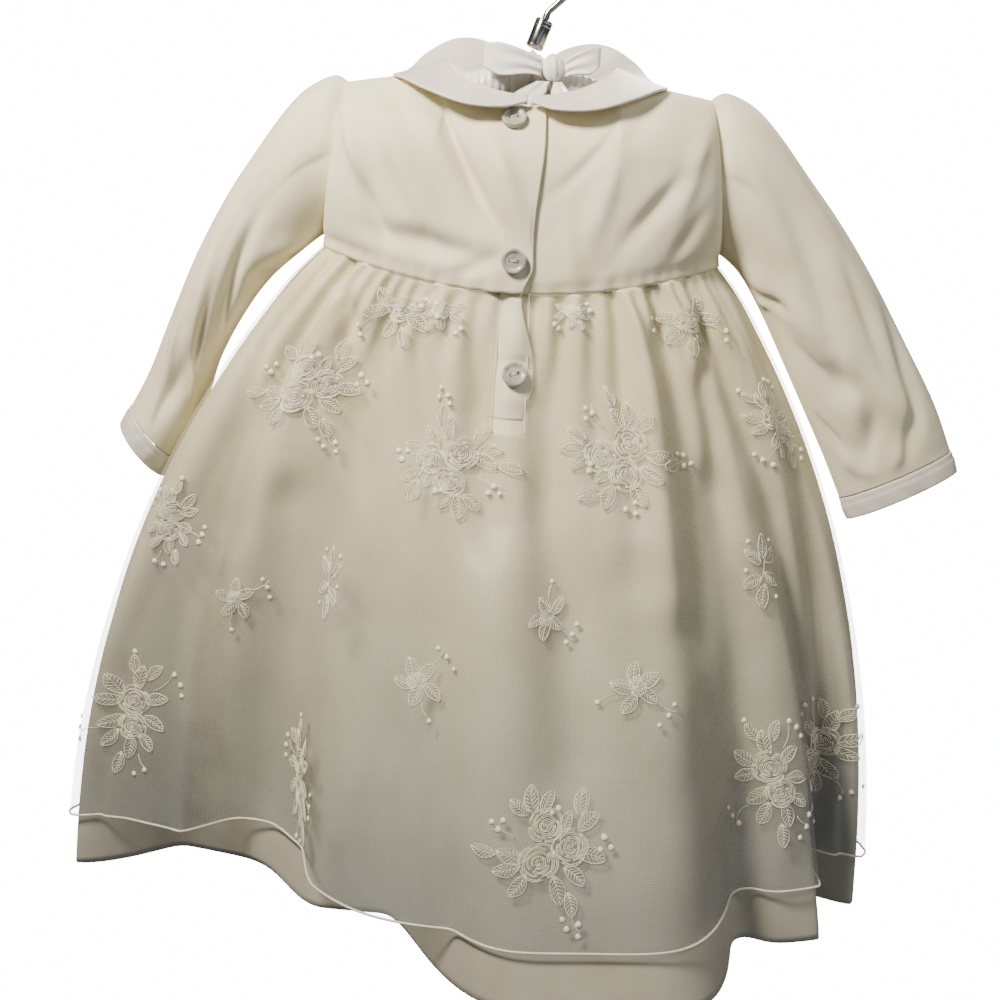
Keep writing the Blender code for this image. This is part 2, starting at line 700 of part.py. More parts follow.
def tube(name, points, radius, sizes, sides_step, material, parent):
    """A round bar along points, its radius scaled by sizes."""
    curve = bpy.data.curves.new(name, "CURVE")
    curve.dimensions = "3D"
    curve.bevel_depth = radius
    curve.bevel_resolution = sides_step
    curve.use_fill_caps = True
    spline = curve.splines.new("POLY")
    spline.points.add(len(points) - 1)
    for place, point, size in zip(spline.points, points, sizes):
        place.co = (*point, 1)
        place.radius = size
    part = bpy.data.objects.new(name, curve)
    part.data.materials.append(material)
    part.parent = parent
    parent.users_collection[0].objects.link(part)
    return part


def arm_centre_z(x):
    return ARM_CENTRE_Z - ARM_DROP * (abs(x) / ARM_HALF) ** ARM_CURVE


def build_arm(padding, parent):
    points = []
    sizes = []
    for step in range(ARM_POINTS):
        share = 2 * step / (ARM_POINTS - 1) - 1
        bent = math.copysign(math.sin(0.5 * math.pi * abs(share)), share)
        x = ARM_HALF * mix(share, bent, 0.6)
        points.append(Vector((x, 0, arm_centre_z(x))))
        sizes.append(mix(0.45, 1.0, ease((1 - abs(share)) / 0.2)))
    tube("hanger_arm", points, ARM_RADIUS, sizes, 3, padding, parent)


def build_hook(metal, parent):
    reach = HOOK_RADIUS + WIRE_RADIUS
    start = FERRULE_TOP + (FERRULE_TOP - FERRULE_BOTTOM).normalized() * SEAM
    points = [start, start + (FERRULE_TOP - FERRULE_BOTTOM).normalized() * 4 * MM]
    for step in range(HOOK_STEPS + 1):
        angle = math.radians(mix(HOOK_START, HOOK_END, step / HOOK_STEPS))
        points.append(Vector((reach * math.cos(angle), 0, reach * math.sin(angle) - HOOK_RADIUS)))
    tube("hanger_hook", points, WIRE_RADIUS, [1.0] * len(points), 2, metal, parent)


def build_ferrule(metal, parent):
    length = (FERRULE_TOP - FERRULE_BOTTOM).length
    shape = bmesh.new()
    bmesh.ops.create_cone(shape, cap_ends=True, segments=16, radius1=FERRULE_RADIUS,
                          radius2=FERRULE_RADIUS, depth=length)
    part = add_object("hanger_ferrule", mesh_from(shape, "hanger_ferrule"), metal, parent)
    rounded = part.modifiers.new("Rim", "BEVEL")
    rounded.width = 0.6 * MM
    rounded.segments = 1
    turn = (FERRULE_TOP - FERRULE_BOTTOM).to_track_quat("Z", "Y").to_matrix().to_4x4()
    part.matrix_world = Matrix.Translation((FERRULE_TOP + FERRULE_BOTTOM) / 2) @ turn


# Bow tied round the hanger under the hook. One row for each ribbon loop, in millimetres:
# its near and far ends from the knot, its width there, how deep it opens and its rise.
Loop = namedtuple("Loop", "name near far near_width far_width depth rise")
BOW_LOOPS = (
    Loop("bow_loop_left", -5.4, -33.0, 8.0, 15.0, 6.4, 4.5),
    Loop("bow_loop_right", 5.4, 22.0, 8.0, 12.0, 6.2, 6.0),
)
Tail = namedtuple("Tail", "name start_x end_x end_z width twist")
BOW_TAILS = (
    Tail("bow_tail_left", -4.2, -17.5, -19.5, 14.0, 1.5),
    Tail("bow_tail_right", 2.6, 5.5, -17.5, 9.0, -1.2),
)


def build_bow(satin, parent):
    for loop in BOW_LOOPS:
        def loop_point(turn, row, loop=loop):
            angle = 2 * math.pi * turn
            out = 0.5 - 0.5 * math.cos(angle)
            x = mix(loop.near, loop.far, out)
            y = -0.5 * loop.depth * math.sin(angle)
            z = loop.rise * out + mix(loop.near_width, loop.far_width, out) * (0.5 - row)
            return KNOT_CENTRE + Vector((x, y, z)) * MM
        middle = KNOT_CENTRE + Vector(((loop.near + loop.far) / 2, 0, loop.rise / 2)) * MM
        cloth(loop.name, 12, (0.0, 0.5, 1.0), loop_point, NET, middle, satin, parent,
              closed=True)
    for tail in BOW_TAILS:
        def tail_point(share, row, tail=tail):
            x = mix(tail.start_x, tail.end_x, row)
            width = tail.width * mix(0.45, 1.0, ease(row * 2))
            y = -1.0 - 5.5 * row + tail.twist * math.sin(math.pi * row * 1.5) * (share - 0.5)
            z = mix(-6.5, tail.end_z, row) + 1.5 * math.sin(math.pi * share) * row
            return KNOT_CENTRE + Vector((x + width * (share - 0.5), y, z)) * MM
        cloth(tail.name, 4, (0.0, 0.25, 0.5, 0.75, 1.0), tail_point, NET,
              KNOT_CENTRE + Vector((0, 30 * MM, 0)), satin, parent)
    shape = bmesh.new()
    bmesh.ops.create_uvsphere(shape, u_segments=10, v_segments=6, radius=0.5)
    for vert in shape.verts:
        ripple = 1 + 0.06 * math.cos(6 * math.atan2(vert.co.y, vert.co.x))
        vert.co = Vector((vert.co.x * ripple * KNOT_SIZE.x, vert.co.y * ripple * KNOT_SIZE.y,
                          vert.co.z * KNOT_SIZE.z))
    part = add_object("bow_knot", mesh_from(shape, "bow_knot"), satin, parent)
    part.location = KNOT_CENTRE


def build_gown():
    for leftover in list(bpy.data.objects):
        bpy.data.objects.remove(leftover, do_unlink=True)
    collection = bpy.data.collections.new("Christening gown")
    bpy.context.scene.collection.children.link(collection)
    root = bpy.data.objects.new("gown_root", None)
    collection.objects.link(root)
    velvet = make_material("Ivory cotton velvet", (0.72, 0.68, 0.58), 0.85)
    net = make_material("Ivory organza", (0.80, 0.78, 0.70), 0.45, alpha=0.45)
    satin = make_material("Ivory satin", (0.74, 0.70, 0.63), 0.35)
    ribbon = make_material("Ivory satin ribbon", (0.84, 0.81, 0.76), 0.22)
    shell = make_material("Mother of pearl", (0.42, 0.41, 0.38), 0.25)
    metal = make_material("Chromed steel", (0.75, 0.75, 0.75), 0.18, metallic=1.0)
    build_bodice(velvet, root)
    build_sleeve("sleeve_left", LEFT_SLEEVE, LEFT_SLEEVE_CREASES, velvet, root)
    build_sleeve("sleeve_right", RIGHT_SLEEVE, RIGHT_SLEEVE_CREASES, velvet, root)
    build_cuff("cuff_left", LEFT_SLEEVE[-1], LEFT_CUFF_END, satin, root)
    build_cuff("cuff_right", RIGHT_SLEEVE[-1], RIGHT_CUFF_END, satin, root)
    build_skirts(velvet, net, root)
    build_placket(velvet, root)
    build_collar(satin, root)
    build_buttons(shell, root)
    build_arm(ribbon, root)
    build_hook(metal, root)
    build_ferrule(metal, root)
    build_bow(ribbon, root)


build_gown()
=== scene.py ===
import math
import random

import bmesh
import bpy
from mathutils import Matrix, Vector


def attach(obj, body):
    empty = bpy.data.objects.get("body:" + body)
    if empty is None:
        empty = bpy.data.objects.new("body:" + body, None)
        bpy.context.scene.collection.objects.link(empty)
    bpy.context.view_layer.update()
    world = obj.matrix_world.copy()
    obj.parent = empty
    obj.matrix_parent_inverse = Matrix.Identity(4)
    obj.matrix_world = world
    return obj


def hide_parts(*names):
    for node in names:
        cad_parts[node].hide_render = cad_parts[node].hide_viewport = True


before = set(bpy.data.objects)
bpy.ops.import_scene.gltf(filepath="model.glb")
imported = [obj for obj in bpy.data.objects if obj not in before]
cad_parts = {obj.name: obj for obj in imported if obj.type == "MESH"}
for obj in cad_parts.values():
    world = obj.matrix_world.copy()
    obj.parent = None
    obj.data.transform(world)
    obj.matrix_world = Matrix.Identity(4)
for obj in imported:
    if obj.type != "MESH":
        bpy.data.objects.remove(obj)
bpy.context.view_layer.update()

# Baby's christening gown on a padded hanger, seen from its buttoned back. Metres, +Z up, and
# the origin is the inside top of the hook. Each cloth piece is a fine thin shell on its solid's
# form, so the sizes below are those that the solids were cut from.

mm = 0.001
random.seed(11)


# Small helpers

def mix(first, last, share):
    return first + (last - first) * share


def ease(share):
    held = min(max(share, 0.0), 1.0)
    return held * held * (3 - 2 * held)


def signedPower(value, power):
    return math.copysign(abs(value) ** power, value)


def curveBetween(before, first, last, after, share):  # smooth from first to last
    bend = (last - before) * share + (2 * before - 5 * first + 4 * last - after) * share ** 2
    return first + 0.5 * (bend + (3 * first - before - 3 * last + after) * share ** 3)


def smoothThrough(points, place):  # a smooth curve through a list of points, place from 0 to 1
    along = place * (len(points) - 1)
    index = min(int(along), len(points) - 2)
    return curveBetween(points[max(index - 1, 0)], points[index], points[index + 1],
                        points[min(index + 2, len(points) - 1)], along - index)


def toLinear(hexColour):
    values = []
    for start in (1, 3, 5):
        value = int(hexColour[start:start + 2], 16) / 255
        values.append(value / 12.92 if value <= 0.04045 else ((value + 0.055) / 1.055) ** 2.4)
    return (*values, 1.0)


def deselectAll():
    for thing in bpy.context.selected_objects:
        thing.select_set(False)


def makeActive(thing):
    deselectAll()
    thing.select_set(True)
    bpy.context.view_layer.objects.active = thing


def applyModifiers(thing):
    makeActive(thing)
    for modifier in list(thing.modifiers):
        bpy.ops.object.modifier_apply(modifier=modifier.name)


def applyPlace(thing):
    makeActive(thing)
    bpy.ops.object.transform_apply(location=True, rotation=True, scale=True)


def addObject(name, data):
    thing = bpy.data.objects.new(name, data)
    bpy.context.scene.collection.objects.link(thing)
    return thing


def addPrimitive(add, **settings):  # runs one of Blender's own add functions
    deselectAll()
    add(**settings)
    return bpy.context.active_object


def ringFaces(start, sides, rings):  # the faces between closed rings of points
    faces = []
    for low in range(start, start + (rings - 1) * sides, sides):
        for step in range(sides):
            after = (step + 1) % sides
            faces.append((low + step, low + after, low + sides + after, low + sides + step))
    return faces


def joinPieces(name, pieces):
    deselectAll()
    for piece in pieces:
        piece.select_set(True)
    bpy.context.view_layer.objects.active = pieces[0]
    if len(pieces) > 1:
        bpy.ops.object.join()
    pieces[0].name = name
    pieces[0].data.name = name
    return pieces[0]


# Materials

def feed(node, links):
    for key, source in links.items():
        node.id_data.links.new(source, node.inputs[key])


def addNode(tree, kind, settings=None, links=None):
    node = tree.nodes.new(kind)
    for key, value in (settings or {}).items():
        if key in node.inputs:
            node.inputs[key].default_value = value
        else:
            setattr(node, key, value)
    feed(node, links or {})
    return node


def startMaterial(name, values):
    material = bpy.data.materials.new(name)
    material.use_nodes = True
    shader = material.node_tree.nodes["Principled BSDF"]
    for key, value in values.items():
        shader.inputs[key].default_value = value
    places = addNode(material.node_tree, "ShaderNodeTexCoord").outputs
    return material, material.node_tree, shader, places


def colourRamp(tree, source, stops):
    ramp = addNode(tree, "ShaderNodeValToRGB", links={"Fac": source})
    for index, (place, colour) in enumerate(stops):
        while len(ramp.color_ramp.elements) <= index:
            ramp.color_ramp.elements.new(1.0)
        ramp.color_ramp.elements[index].position = place
        ramp.color_ramp.elements[index].color = toLinear(colour)
    return ramp


velvetLook = {
    # painted shade: the grey-blue that darkens and cools the velvet towards the hem
    "hemShadeTint": "#C8CAD2",
    "nap": 2600.0,  # pile tufts about 0.4 mm apart
    "crush": 46.0,  # patches where the pile leans, about 22 mm
    "colours": ((0.30, "#DDD5B4"), (0.50, "#E8E0C2"), (0.72, "#F1EACF")),
}


def cottonVelvet():
    # Cotton velvet, a woven cut pile: matt, with a pale bloom where the surface turns away
    material, tree, shader, places = startMaterial("Ivory cotton velvet", {
        "Roughness": 0.92, "Sheen Weight": 0.35, "Sheen Roughness": 0.42,
        "Sheen Tint": toLinear("#FFF6E4"), "Specular IOR Level": 0.18})
    crush = addNode(tree, "ShaderNodeTexNoise", {"Scale": velvetLook["crush"], "Detail": 3.0,
                    "Roughness": 0.5}, {"Vector": places["Object"]})
    nap = addNode(tree, "ShaderNodeTexNoise", {"Scale": velvetLook["nap"], "Detail": 2.0},
                  {"Vector": places["Object"]})
    both = addNode(tree, "ShaderNodeMix", {"data_type": "FLOAT", "Factor": 0.30},
                   {"A": crush.outputs["Fac"], "B": nap.outputs["Fac"]})
    ramp = colourRamp(tree, both.outputs["Result"], velvetLook["colours"])
    # painted shade, graded towards the hem to follow how the photo darkens there: light falling
    # off is painted as a darker, cooler velvet; white turns it off
    parts = addNode(tree, "ShaderNodeSeparateXYZ", links={"Vector": places["Object"]})
    height = addNode(tree, "ShaderNodeMapRange", {"From Min": -0.48, "From Max": -0.26,
                     "To Min": 1.0, "To Max": 0.0}, {"Value": parts.outputs["Z"]})
    hemShadeTone = addNode(tree, "ShaderNodeMix", {"data_type": "RGBA", "blend_type": "MULTIPLY"},
                      {"Factor": height.outputs["Result"], 6: ramp.outputs["Color"]})
    hemShadeTone.inputs[7].default_value = toLinear(velvetLook["hemShadeTint"])
    fine = addNode(tree, "ShaderNodeBump", {"Strength": 0.25, "Distance": 0.0003},
                   {"Height": nap.outputs["Fac"]})
    soft = addNode(tree, "ShaderNodeBump", {"Strength": 0.35, "Distance": 0.0012},
                   {"Height": crush.outputs["Fac"], "Normal": fine.outputs["Normal"]})
    feed(shader, {"Base Color": hemShadeTone.outputs[2], "Normal": soft.outputs["Normal"]})
    return material


satinLook = {
    "thread": 900.0,  # satin floats, drawn 1.1 mm apart so that they just show
    "colours": ((0.25, "#DBD4C5"), (0.75, "#EBE6D9")),
}


def silkSatin(name, colours, roughness, sheen):
    # Silk satin: long floats give it a soft, broad gloss with fine cross threads
    material, tree, shader, places = startMaterial(name, {
        "Roughness": roughness, "Sheen Weight": sheen, "Sheen Roughness": 0.3,
        "Sheen Tint": toLinear("#FFF3E2"), "Specular IOR Level": 0.5, "Anisotropic": 0.35})
    cloud = addNode(tree, "ShaderNodeTexNoise", {"Scale": 95.0, "Detail": 3.0},
                    {"Vector": places["Object"]})
    ramp = colourRamp(tree, cloud.outputs["Fac"], colours)
    floats = addNode(tree, "ShaderNodeTexWave", {"wave_type": "BANDS", "bands_direction": "Y",
                     "Scale": satinLook["thread"] / 20, "Distortion": 0.6, "Detail": 1.0,
                     "Detail Scale": 3.0}, {"Vector": places["UV"]})
    bump = addNode(tree, "ShaderNodeBump", {"Strength": 0.18, "Distance": 0.0003},
                   {"Height": floats.outputs["Fac"]})
    puckers = addNode(tree, "ShaderNodeBump", {"Strength": 0.30, "Distance": 0.0010},
                      {"Height": cloud.outputs["Fac"], "Normal": bump.outputs["Normal"]})
    feed(shader, {"Base Color": ramp.outputs["Color"], "Normal": puckers.outputs["Normal"]})
    return material


def silkOrganza():
    # Silk organza: a crisp sheer plain weave, seen as a thin veil that whitens where it folds
    material, tree, shader, places = startMaterial("Ivory silk organza", {
        "Roughness": 0.38, "Sheen Weight": 0.45, "Sheen Roughness": 0.3,
        "Sheen Tint": toLinear("#FFFBF0"), "Specular IOR Level": 0.35})
    weave = []
    for direction in ("X", "Y"):  # threads drawn 1 mm apart, so that they can show at all
        weave.append(addNode(tree, "ShaderNodeTexWave", {
            "wave_type": "BANDS", "bands_direction": direction, "Scale": 310.0,
            "Distortion": 0.5}, {"Vector": places["UV"]}))
    threads = addNode(tree, "ShaderNodeMath", {"operation": "MAXIMUM"},
                      {0: weave[0].outputs["Fac"], 1: weave[1].outputs["Fac"]})
    cloud = addNode(tree, "ShaderNodeTexNoise", {"Scale": 40.0, "Detail": 3.0},
                    {"Vector": places["Object"]})
    weight = addNode(tree, "ShaderNodeMix", {"data_type": "FLOAT", "Factor": 0.55},
                     {"A": threads.outputs["Value"], "B": cloud.outputs["Fac"]})
    cover = addNode(tree, "ShaderNodeMapRange", {"From Min": 0.2, "From Max": 0.9,
                    "To Min": 0.12, "To Max": 0.30}, {"Value": weight.outputs["Result"]})
    # painted shade, graded from the yoke to the hem to follow how the photo darkens there: light
    # falling off is painted as a darker, cooler organza; the cloud adds a random mottle
    parts = addNode(tree, "ShaderNodeSeparateXYZ", links={"Vector": places["Object"]})
    height = addNode(tree, "ShaderNodeMapRange", {"From Min": -0.44, "From Max": -0.16,
                     "To Min": 0.0, "To Max": 0.8}, {"Value": parts.outputs["Z"]})
    mottle = addNode(tree, "ShaderNodeMath", {"operation": "MULTIPLY"},
                     {0: cloud.outputs["Fac"]})
    mottle.inputs[1].default_value = 0.25
    shadeAndMottle = addNode(tree, "ShaderNodeMath", {"operation": "ADD"},
                   {0: height.outputs["Result"], 1: mottle.outputs["Value"]})
    # painted shade: grey at the hem end of this ramp, warm cream at the yoke end
    ramp = colourRamp(tree, shadeAndMottle.outputs["Value"],
                      ((0.10, "#A9AEAD"), (0.55, "#C9C6B3"), (0.95, "#E2D8B2")))
    feed(shader, {"Base Color": ramp.outputs["Color"], "Alpha": cover.outputs["Result"]})
    return material


def shellMaterial():
    # Mother-of-pearl, sliced and polished: grey with soft cloudy lights
    material, tree, shader, places = startMaterial("Grey mother-of-pearl", {
        "Roughness": 0.30, "Coat Weight": 0.35, "Coat Roughness": 0.15,
        "Specular IOR Level": 0.6})
    cloud = addNode(tree, "ShaderNodeTexNoise", {"Scale": 150.0, "Detail": 2.0,
                    "Distortion": 1.0}, {"Vector": places["Object"]})
    ramp = colourRamp(tree, cloud.outputs["Fac"],
                      ((0.30, "#84827A"), (0.52, "#A3A198"), (0.75, "#C9C5B9")))
    feed(shader, {"Base Color": ramp.outputs["Color"]})
    return material


def chromedSteel():
    # Chromed steel wire: a clear mirror with the faint marks of handling
    material, tree, shader, places = startMaterial("Chromed steel", {
        "Base Color": toLinear("#A9A8A4"), "Metallic": 1.0})
    marks = addNode(tree, "ShaderNodeTexNoise", {"Scale": 320.0, "Detail": 3.0},
                    {"Vector": places["Object"]})
    rough = addNode(tree, "ShaderNodeMapRange", {"To Min": 0.08, "To Max": 0.26},
                    {"Value": marks.outputs["Fac"]})
    feed(shader, {"Roughness": rough.outputs["Result"]})
    return material


def stitchThread(name, colours, roughness):
    # Mercerised thread: twisted and lightly glossy
    material, tree, shader, places = startMaterial(name, {
        "Roughness": roughness, "Sheen Weight": 0.3, "Sheen Roughness": 0.4,
        "Sheen Tint": toLinear("#FFF6E2"), "Specular IOR Level": 0.45})
    cloud = addNode(tree, "ShaderNodeTexNoise", {"Scale": 420.0, "Detail": 2.0},
                    {"Vector": places["Object"]})
    ramp = colourRamp(tree, cloud.outputs["Fac"], colours)
    bump = addNode(tree, "ShaderNodeBump", {"Strength": 0.4, "Distance": 0.0003},
                   {"Height": cloud.outputs["Fac"]})
    feed(shader, {"Base Color": ramp.outputs["Color"], "Normal": bump.outputs["Normal"]})
    return material


velvet = cottonVelvet()
satin = silkSatin("Ivory silk satin", satinLook["colours"], 0.34, 0.2)
ribbon = silkSatin("Pale satin ribbon", ((0.25, "#E4E0D8"), (0.75, "#F6F3EE")), 0.24, 0.15)
organza = silkOrganza()
pearl = shellMaterial()
chrome = chromedSteel()
thread = stitchThread("Ivory cotton thread", ((0.3, "#CFC6B0"), (0.7, "#EBE4D3")), 0.55)
floss = stitchThread("Cream rayon floss", ((0.3, "#F2EBCF"), (0.7, "#FFFBEC")), 0.34)
print("materials ready")


# Sheets of cloth: a fine grid, given its wall

def makeSheet(name, columns, rows, place, behind, wall, flat, closed=False, cut=None):
    verts, faces, corners = [], [], []
    across = columns if closed else columns + 1
    for row in rows:
        for column in range(across):
            verts.append(place(column / columns, row))
    for line in range(len(rows) - 1):
        for column in range(columns):
            if cut and cut((column + 0.5) / columns, (rows[line] + rows[line + 1]) / 2):
                continue
            after = (column + 1) % across
            faces.append((line * across + column, line * across + after,
                          (line + 1) * across + after, (line + 1) * across + column))
            for share, row in ((column, line), (column + 1, line),
                               (column + 1, line + 1), (column, line + 1)):
                corners.append((share / columns * flat[0], -rows[row] * flat[1]))
    mesh = bpy.data.meshes.new(name)
    mesh.from_pydata(verts, [], faces)
    layer = mesh.uv_layers.new(name="cut")
    for index, corner in enumerate(corners):
        layer.data[index].uv = corner
    shape = bmesh.new()
    shape.from_mesh(mesh)
    loose = [vert for vert in shape.verts if not vert.link_faces]
    bmesh.ops.delete(shape, geom=loose, context="VERTS")
    shape.normal_update()
    facing = sum(face.normal.dot(face.calc_center_median() - behind) * face.calc_area()
                 for face in shape.faces)
    if facing < 0:
        bmesh.ops.reverse_faces(shape, faces=shape.faces)
    shape.to_mesh(mesh)
    shape.free()
    sheet = addObject(name, mesh)
    thickness = sheet.modifiers.new("Wall", "SOLIDIFY")
    thickness.thickness = wall
    thickness.offset = -1
    applyModifiers(sheet)
    sheet.data.shade_smooth()
    return sheet


def dress(piece, material, nodes):
    piece.data.materials.clear()
    piece.data.materials.append(material)
    for face in piece.data.polygons:
        face.material_index = 0
    if nodes:
        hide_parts(*nodes)
    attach(piece, "root")


def evenRows(count, power=1.0):
    return [(step / count) ** power for step in range(count + 1)]


def creaseLift(creases, column, row):
    total = 0.0
    for crease in creases:
        drift = crease["column"] + crease["slant"] * (row - crease["row"])
        across = (column - drift) / crease["width"]
        along = (row - crease["row"]) / crease["length"]
        if abs(across) < 3 and abs(along) < 3:
            total += crease["rise"] * mm * math.exp(-across * across - along * along)
    return total


def creaseTable(rows):
    keys = ("column", "row", "slant", "width", "length", "rise")
    return [dict(zip(keys, row)) for row in rows]


# Bodice

bodice = {
    "neckHalf": 40 * mm, "neckSideZ": -68 * mm, "neckBackY": 30 * mm, "neckBackZ": -85.5 * mm,
    "neckFrontY": 34 * mm, "neckFrontZ": -79 * mm, "neckDip": 1.5,
    "shoulderHalf": 87 * mm, "shoulderZ": -75.5 * mm,
    "yokeHalf": 96.5 * mm, "yokeDepth": 47 * mm, "yokeCentreZ": -170.5 * mm,
    "yokeSideZ": -153 * mm, "roundness": 0.85, "shoulderRoll": 0.40, "armholeShare": 0.93,
    "armholeDepth": 26 * mm, "neckColumns": 0.42,
    "overlapTop": 7.8 * mm, "overlapTaper": 2.6 * mm, "overlapCorner": 4.0 * mm,
    "overlapSway": 0.9 * mm, "overlapLift": 2.0 * mm, "overlapLiftNeck": 2.6 * mm,
    "liftFrom": -26 * mm, "liftTo": -10.5 * mm, "underlap": -9 * mm, "panelGap": 0.5 * mm,
    "seam": 0.3 * mm, "seamPucker": 0.5 * mm, "seamRoll": 1.5 * mm, "seamLap": 0.7 * mm,
    "closingX": -7 * mm, "closingHalf": 8 * mm, "wall": 1.2 * mm, "creaseScale": 1.8,
    "rows": 64,
}
# Soft creases in the back and front: share of the width, share of the height, slant, half
# width, half length, rise in millimetres
backLeftCreases = creaseTable((
    (0.63, 0.40, 0.72, 0.055, 0.32, -4.2), (0.84, 0.40, 0.45, 0.055, 0.24, 2.2),
    (0.50, 0.82, 0.00, 0.240, 0.055, -2.8), (0.13, 0.45, 0.30, 0.040, 0.24, 2.6),
    (0.38, 0.50, 0.60, 0.070, 0.28, 2.4), (0.22, 0.70, 0.45, 0.045, 0.18, -3.2),
    (0.74, 0.88, -0.90, 0.060, 0.08, -1.6), (0.30, 0.20, 0.80, 0.040, 0.12, -1.4)))
backRightCreases = creaseTable((
    (0.46, 0.52, -0.31, 0.060, 0.30, 1.2), (0.69, 0.63, -0.80, 0.055, 0.16, -1.9),
    (0.39, 0.34, -1.20, 0.055, 0.13, -1.0), (0.86, 0.44, -0.32, 0.045, 0.24, 1.2),
    (0.60, 0.24, -0.60, 0.060, 0.14, -0.9), (0.30, 0.78, 0.10, 0.040, 0.16, 0.8),
    (0.82, 0.80, -0.60, 0.040, 0.12, -1.0)))
frontCreases = creaseTable((
    (0.22, 0.50, 0.20, 0.040, 0.25, -1.4), (0.35, 0.65, -0.10, 0.035, 0.22, 1.0),
    (0.66, 0.60, 0.12, 0.040, 0.24, -1.2), (0.80, 0.45, -0.20, 0.035, 0.22, 1.2)))


def neckTop(x, front):
    reach = abs(x)
    if reach >= bodice["neckHalf"]:
        share = (reach - bodice["neckHalf"]) / (bodice["shoulderHalf"] - bodice["neckHalf"])
        return 0.0, mix(bodice["neckSideZ"], bodice["shoulderZ"], share)
    roundOff = math.sqrt(1 - (reach / bodice["neckHalf"]) ** 2)
    dip = roundOff ** bodice["neckDip"]
    if front:
        return (bodice["neckFrontY"] * roundOff,
                mix(bodice["neckSideZ"], bodice["neckFrontZ"], dip))
    return bodice["neckBackY"] * roundOff, mix(bodice["neckSideZ"], bodice["neckBackZ"], dip)


def angleAt(x, half):
    return math.copysign(math.asin(min((abs(x) / half), 1.0) ** (1 / bodice["roundness"])), x)


def columnAngle(share):
    neckAngle = angleAt(bodice["neckHalf"], bodice["shoulderHalf"])
    size = abs(share)
    if size > bodice["neckColumns"]:
        onward = (size - bodice["neckColumns"]) / (1 - bodice["neckColumns"])
        return math.copysign(mix(neckAngle, math.pi / 2, onward), share)
    x = bodice["neckHalf"] * math.sin(0.5 * math.pi * size / bodice["neckColumns"])
    return math.copysign(angleAt(x, bodice["shoulderHalf"]), share)


def yokeSeamZ(sine):
    return mix(bodice["yokeCentreZ"], bodice["yokeSideZ"], abs(sine) ** 1.7)


def puckers(angle):  # the small, uneven gathers that the yoke seam holds
    return math.sin(63 * angle + 1.6 * (math.sin(5 * angle + 2) + 0.6 * math.sin(11 * angle)))


def bodiceHalf(row):
    return mix(bodice["shoulderHalf"], bodice["yokeHalf"], row)


def bodicePoint(angle, row, front):
    sine, cosine = math.sin(angle), max(math.cos(angle), 0.0)
    across = signedPower(sine, bodice["roundness"])
    x = bodiceHalf(row) * across
    topDepth, topZ = neckTop(bodice["shoulderHalf"] * across, front)
    downArmhole = min(row / bodice["armholeShare"], 1.0)
    sideDepth = bodice["armholeDepth"] * 2 * math.sqrt(downArmhole * (1 - downArmhole))
    rounding = cosine ** bodice["roundness"]
    roll = 1 - (1 - min(row / bodice["shoulderRoll"], 1.0)) ** 2
    if topDepth > 0:
        topDepth /= rounding
    middleDepth = math.sqrt(mix(topDepth ** 2, bodice["yokeDepth"] ** 2, roll))
    depth = max(mix(sideDepth, middleDepth, rounding), 0.5 * bodice["panelGap"])
    closing = 0.0 if front else math.exp(
        -((x - bodice["closingX"]) / bodice["closingHalf"]) ** 4)
    rollIn = bodice["seamRoll"] * ease((row - 0.92) / 0.08) * cosine * (1 - closing)
    rollIn -= bodice["seamPucker"] * puckers(angle) * ease((row - 0.90) / 0.08) * cosine
    depth = max(depth - rollIn, 0.5 * bodice["panelGap"])
    z = mix(topZ, yokeSeamZ(sine) - bodice["seamLap"], row)  # laps the skirt's gathered edge
    return Vector((x, depth if front else -depth, z))


def overlapEdge(row):
    corner = bodice["overlapCorner"] * ease((row - 0.85) / 0.15)
    drape = bodice["overlapSway"] * math.sin(2 * math.pi * min(row, 0.86) / 0.86)
    return bodice["overlapTop"] - bodice["overlapTaper"] * row - corner + drape


def overlapLift(x, row):
    lift = mix(bodice["overlapLiftNeck"], bodice["overlapLift"],
               min(row / bodice["shoulderRoll"], 1.0))
    share = (x - bodice["liftFrom"]) / (bodice["liftTo"] - bodice["liftFrom"])
    return Vector((0, -lift * ease(share), 0))


def pressed(point, lift, share, row):  # moves a bodice point out by its creases
    fade = ease(row / 0.15) * ease((1 - row) / 0.10)
    fade *= ease(share / 0.06) * ease((1 - share) / 0.06)
    outward = Vector((point.x * 0.35, point.y, 0)).normalized()
    return point + outward * bodice["creaseScale"] * lift * fade


def backLeftPoint(share, row):
    half = bodiceHalf(row)
    edge = angleAt(overlapEdge(row), half)
    angle = columnAngle(share / 0.88 - 1) if share < 0.88 else edge * (share - 0.88) / 0.12
    point = bodicePoint(angle, row, front=False)
    column = (point.x + half) / (half + overlapEdge(row))
    point = pressed(point, creaseLift(backLeftCreases, column, row), share, row)
    return point + overlapLift(point.x, row)


def backRightPoint(share, row):
    half = bodiceHalf(row)
    edge = angleAt(bodice["underlap"], half)
    angle = columnAngle((share - 0.12) / 0.88) if share > 0.12 else edge * (1 - share / 0.12)
    point = bodicePoint(angle, row, front=False)
    column = (point.x - bodice["underlap"]) / (half - bodice["underlap"])
    return pressed(point, creaseLift(backRightCreases, column, row), share, row)


def frontPoint(share, row):
    point = bodicePoint(columnAngle(2 * share - 1), row, front=True)
    half = bodiceHalf(row)
    column = 0.5 + 0.5 * point.x / half
    return pressed(point, creaseLift(frontCreases, column, row), share, row)


def makeBodice():
    behind = Vector((0, 0, -0.12))
    panels = (("bodiceFront", frontPoint, 120, (0.215, 0.108), 0.0214, "bodice_front"),
              ("bodiceBackLeft", backLeftPoint, 84, (0.118, 0.105), 0.0113, "bodice_back_left"),
              ("bodiceBackRight", backRightPoint, 84, (0.120, 0.105), 0.0115,
               "bodice_back_right"))
    for name, place, columns, flat, area, node in panels:
        panel = makeSheet(name, columns, evenRows(bodice["rows"], 1.25), place, behind,
                          bodice["wall"], flat)
        dress(panel, velvet, [node])
    print("bodice sewn")


makeBodice()


# Sleeves and cuffs

